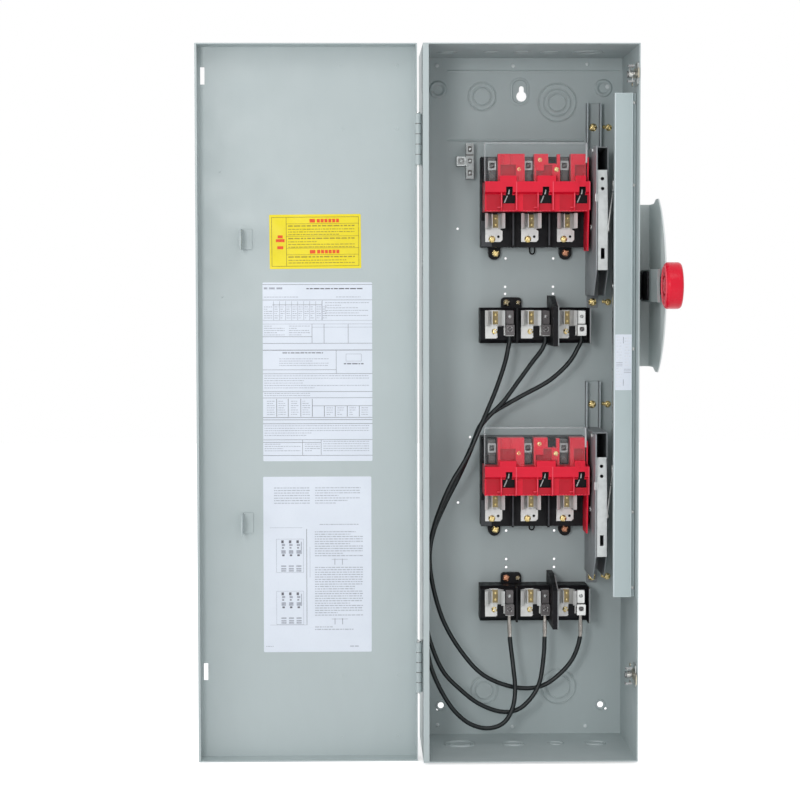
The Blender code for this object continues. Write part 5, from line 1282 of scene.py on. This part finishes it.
def add_mechanism_forms(side):
    """Foot, liner, edges with a painted highlight, tab, pin heads and a return spring of a drive
    channel.
    """
    low, high = box("mechanism_frame_" + side)
    z = AXIS_Z[side]
    foot = Form("mechanism_foot_" + side, "dark_paint", FRAME_PAINT)
    foot.plate((low.x + 2, low.z - 19), (high.x - 2, low.z + 0.4), 2, high.y - 1.8, high.y)
    liner = Form("mechanism_liner_" + side, "paint")
    liner.block((low.x + 2, high.y - 2.3, z + 74), (high.x - 2, high.y - 1.6, high.z - 0.4))
    # Pale strips on the flanges' front edges: a painted highlight.
    edges = Form("mechanism_edges_" + side, "paint", BEND_HIGHLIGHT_PAINT)
    for left in (low.x + 0.2, high.x - 1.6):
        edges.block((left, high.y - 20.3, z + 74), (left + 1.4, high.y - 19.8, high.z - 0.4))
    silver = Form("mechanism_tabs_" + side, "plated")
    silver.block((low.x - 1.2, low.y + 0.4, z - 6), (low.x + 3, low.y + 4.4, z + 5))
    silver.lathe((low.x, -80, z - 40), "x", [(4.6, -1.6), (5, -1.2), (5, 0.2)], 20)
    silver.lathe((low.x, -100, z + 68), "x", [(3, -1.6), (3.4, -1.2), (3.4, 0.2)], 16)
    finish(foot, liner, edges, silver)
    points = []
    for step in range(SPRING_TURNS * TURN_STEPS + 1):
        angle = 2 * math.pi * step / TURN_STEPS
        points.append((4.8 * math.cos(angle), 4.8 * math.sin(angle),
                       56 * step / (SPRING_TURNS * TURN_STEPS)))
    add_wire("mechanism_spring_" + side, points, (105.6, -30, z + 10), 0.7, "plated", DULL)


def add_cover_forms():
    """Strips that paint the highlight on the cover's bends, and the self-tapping screws along its
    flange.
    """
    bends = Form("cover_bends", "cover_paint", BEND_HIGHLIGHT_PAINT, at=(0, COVER_LOW.y, 0))
    step = COVER_HIGH.x - 5.1
    for left, right, lean_left, lean_right in ((COVER_LOW.x - TRACE, COVER_LOW.x + 1.6, 0.8, 0),
                                               (step - 0.9, step + TRACE, 0, 0.5)):
        outline = [(left + lean_left, -0.3), (right - lean_right, -0.3), (right, 0.3), (left, 0.3)]
        bends.prism(outline, "z", COVER_LOW.z + 0.5, COVER_HIGH.z - 0.5)
    screws = Form("cover_screws", "plated")
    for z in (420.8, 306.1, 77.5, -152, -259):
        screws.screw((COVER_HIGH.x - 2.8, COVER_LOW.y + 8, z), 2.6, height=0.6)
    finish(bends, screws)


COIL_STEPS = 48                          # of 30 degrees: four turns


def add_latch_forms(side):
    """Keepers, pivot, rivets and torsion spring of a door latch."""
    plate_low, plate_high = box("latch_plate_" + side)
    middle = Point(box("latch_bracket_" + side)[0].x, BOX_LOW.y + 22,
                   (plate_low.z + plate_high.z) / 2)
    points = [(-0.4, 14, -13)]
    for step in range(COIL_STEPS + 1):
        angle = math.radians(-60 + 30 * step)
        points.append((-1 - 5.4 * step / COIL_STEPS, 5 * math.cos(angle), 5 * math.sin(angle)))
    points.append((-6.4, -12, 9))
    add_wire("latch_spring_" + side, points, middle, 0.7, "plated")
    keeper = Form("latch_keepers_" + side, "plated", DULL, at=middle)
    for up, reach in ((9.5, 9.2), (-12, 10)):
        keeper.plate((-reach, up), (0.3, up + 2.8), 1, -11, -9.8)
        keeper.plate((-reach, up), (1.2 - reach, up + 2.8), 0.5, -11, -3)
    keeper.lathe((0, 0, 0), "x", [(3, 0.3), (3, -7.2), (4.6, -7.6), (4.6, -8.8), (3, -9.4)], 20)
    rivets = Form("latch_rivets_" + side, "brass", PALE_BRASS, at=middle)
    for up in (-13.5, 12.5):
        rivets.lathe((0, 10, up), "x", [(2.8, 0.4), (2.8, -0.6), (1.8, -1.4)], 16)
    finish(keeper, rivets)


# ---------- handle
GRIP_LOW, GRIP_HIGH = box("handle_grip")
GRIP = middle_of("handle_grip")
LEVER_LOW, LEVER_HIGH = box("handle_lever")
PIVOT = middle_of("handle_hub")
DISH = 2.9                               # depth of the grip's dished faces
BOLT_CIRCLE = 13.5
GAP_X = 160                              # in the gap between the box and the lever


def lever_cutter():
    """The lever ends in a hollow round the grip."""
    tool = Form("lever_cutter")
    hollow = (GRIP_HIGH.y - GRIP_LOW.y) / 2 + 2
    tool.prism(disc((GRIP.y, GRIP.z), hollow, 64), "x", GAP_X, GRIP_LOW.x + TRACE)
    return tool.cutter()


def add_grip_forms():
    """The grip's ring faces and dish in a darker red that paints their shade, raised rings in a
    brighter red that paints their highlight, and its neck on the lever.
    """
    neck = Form("grip_neck", "phenolic", body="handle")
    neck.prism(rounded((GRIP_HIGH.y - 4, GRIP.z - 12), (GRIP_HIGH.y + 20, GRIP.z + 12), 4), "x",
               LEVER_HIGH.x - 0.4, LEVER_HIGH.x + 11)
    neck.prism(rounded((-166, GRIP.z - 20.5), (-118, GRIP.z + 20.5), 3), "x",
               LEVER_LOW.x - 2.6, LEVER_LOW.x + TRACE)
    neck.finish(0.6)
    # The grip's ring faces and dish in a darker red: painted shade.
    hollow = Form("grip_hollow", "red_plastic", SHADED_RECESS_RED, "handle")
    for depth, outer, inner, sides in ((0, 26.2, 14, 48), (DISH, 11, 6.2, 40)):
        hollow.ring((GRIP_LOW.x + depth, GRIP.y, GRIP.z), "x",
                    [(outer, 0.2), (outer, -0.3), (inner, -0.3), (inner, 0.2)], sides)
    hollow.finish(0)
    steps = Form("grip_steps", "red_plastic", GRIP_RIDGE_HIGHLIGHT, "handle")
    for face, out, rise in ((GRIP_LOW.x, -1, 0.7), (GRIP_HIGH.x, 1, 0)):
        for radius in (26.2, 21.2):
            steps.ring((face, GRIP.y, GRIP.z), "x",
                       [(radius - 1.4, -0.4 * out), (radius - 0.8, rise * out),
                        (radius + 0.4, rise * out), (radius + 1, -0.4 * out)], 48)
        dish = (face - DISH * out, GRIP.y, GRIP.z)
        steps.ring(dish, "x", [(13.2, -0.3 * out), (12.6, 1.2 * out), (10.8, 1.2 * out),
                               (10.2, -0.3 * out)], 40)
        steps.lathe(dish, "x", [(6, -0.3 * out), (6, 0.9 * out), (4.6, 1.4 * out)])
    steps.finish(0)


def add_side_bolts():
    """Bolts of the lever's hub and of the guard, on the outside of the right wall."""
    bolts = Form("hub_bolts", "plated", body="handle")
    for y, z in arc((PIVOT.y, PIVOT.z), BOLT_CIRCLE, math.pi / 4, 7 * math.pi / 4, 3):
        bolts.screw((LEVER_HIGH.x, y, z), 3.6, axis="x", out=1, cuts=2)
    studs = Form("guard_bolts", "plated")
    for up in (-100, -60, 60, 100):
        studs.screw((BOX_HIGH.x + 2.2, -48, PIVOT.z + up), 4, axis="x", out=1)
    finish(bolts, studs)


# ---------- dressing
def dress_nodes():
    cutters = {"enclosure": enclosure_cutter(), "handle_lever": lever_cutter()}
    for side in PAIR:
        cutters["red_shield_" + side] = shield_cutter(side)
    for part in frame["record"]["subparts"]:
        name, slot = part["node"], part["material_slot"]
        node = NODES[name]
        node.data.materials.clear()
        node.data.materials.append(OWN_LOOKS.get(name, LOOKS[slot]))
        shield = name.startswith("red_shield")
        soften(node, 0 if shield else ROUNDINGS[slot], cutter=cutters.get(name), flatten=not shield)


dress_nodes()
for add in (add_panel_forms, add_panel_screws, add_ground_forms, add_hinge_gaps, add_door_forms,
            add_yellow_label, add_rating_label, add_wiring_label, add_cover_label, add_cover_forms,
            add_grip_forms, add_side_bolts):
    add()
for side in PAIR:
    for add in (add_latch_forms, add_shield_forms, add_base_forms, add_clear_edges, add_line_lugs,
                add_clip_forms, add_load_nosings, add_load_lugs, add_mechanism_forms):
        add(side)


# ---------- stage
FLOOR_DROP = 0.0006          # floor below the lowest corner of the object
FLOOR_SIZE = 12
WORLD_LIGHT = 0.725
FLOOR_GLOW = 0.58            # light that only the camera sees
LAMPS = (("key", (-0.95, -3.3, 0.5), (0, 0, 0), 0.6, 21),
         ("top", (0, -2.4, 2.6), (0, 0, 0), 1.6, 13),
         ("side", (-2.4, -1.1, 0.2), (0.1, -0.1, 0), 1.2, 7))


def area_lamp(name, stand, target, size, power):
    data = assign(bpy.data.lights.new(name, "AREA"), shape="DISK", size=size, energy=power)
    thing = link(bpy.data.objects.new(name, data))
    thing.location = stand
    aim = Vector(target) - Vector(stand)
    thing.rotation_mode = "QUATERNION"
    thing.rotation_quaternion = aim.to_track_quat("-Z", "Y")


def seen_directly(tree):
    """1 for rays that come from the camera, from metal and through glass."""
    path = add_node(tree, "ShaderNodeLightPath")
    rays = path.outputs["Is Camera Ray"]
    for name in ("Is Glossy Ray", "Is Transmission Ray"):
        either = add_node(tree, "ShaderNodeMath", rays, path.outputs[name])
        either.operation = "MAXIMUM"
        rays = either.outputs["Value"]
    return rays


def make_world():
    world = bpy.data.worlds.new("studio")
    bpy.context.scene.world = world
    world.use_nodes = True
    tree = world.node_tree
    tree.nodes.clear()
    seen = add_node(tree, "ShaderNodeBackground", Color=(1, 1, 1, 1))
    light = add_node(tree, "ShaderNodeBackground", Color=(0.98, 0.99, 1, 1), Strength=WORLD_LIGHT)
    mix = add_node(tree, "ShaderNodeMixShader", seen_directly(tree), light.outputs[0],
                   seen.outputs[0])
    add_node(tree, "ShaderNodeOutputWorld", Surface=mix.outputs[0])


def make_floor():
    """A pale floor that looks white and keeps a soft shadow."""
    data = bpy.data.meshes.new("floor")
    half = FLOOR_SIZE / 2
    level = cad_box[0][2] - FLOOR_DROP
    corners = [(x, y, level) for x, y in rectangle((-half, -half), (half, half))]
    data.from_pydata(corners, [], [(0, 1, 2, 3)])
    floor = link(bpy.data.objects.new("floor", data))
    look = Surface("floor_paper", (0.86, 0.86, 0.86), 0.8)
    look.tint((0.3, 3), (0.84, 0.84, 0.845)).bump((0.002, 2), 0.00003, 0.3)
    look.set(Emission_Color=(1, 1, 1, 1),
             Emission_Strength=look.times(seen_directly(look.tree), FLOOR_GLOW))
    data.materials.append(look.material)


make_world()
make_floor()
for lamp in LAMPS:
    area_lamp(*lamp)
bpy.context.scene.view_settings.view_transform = "Standard"
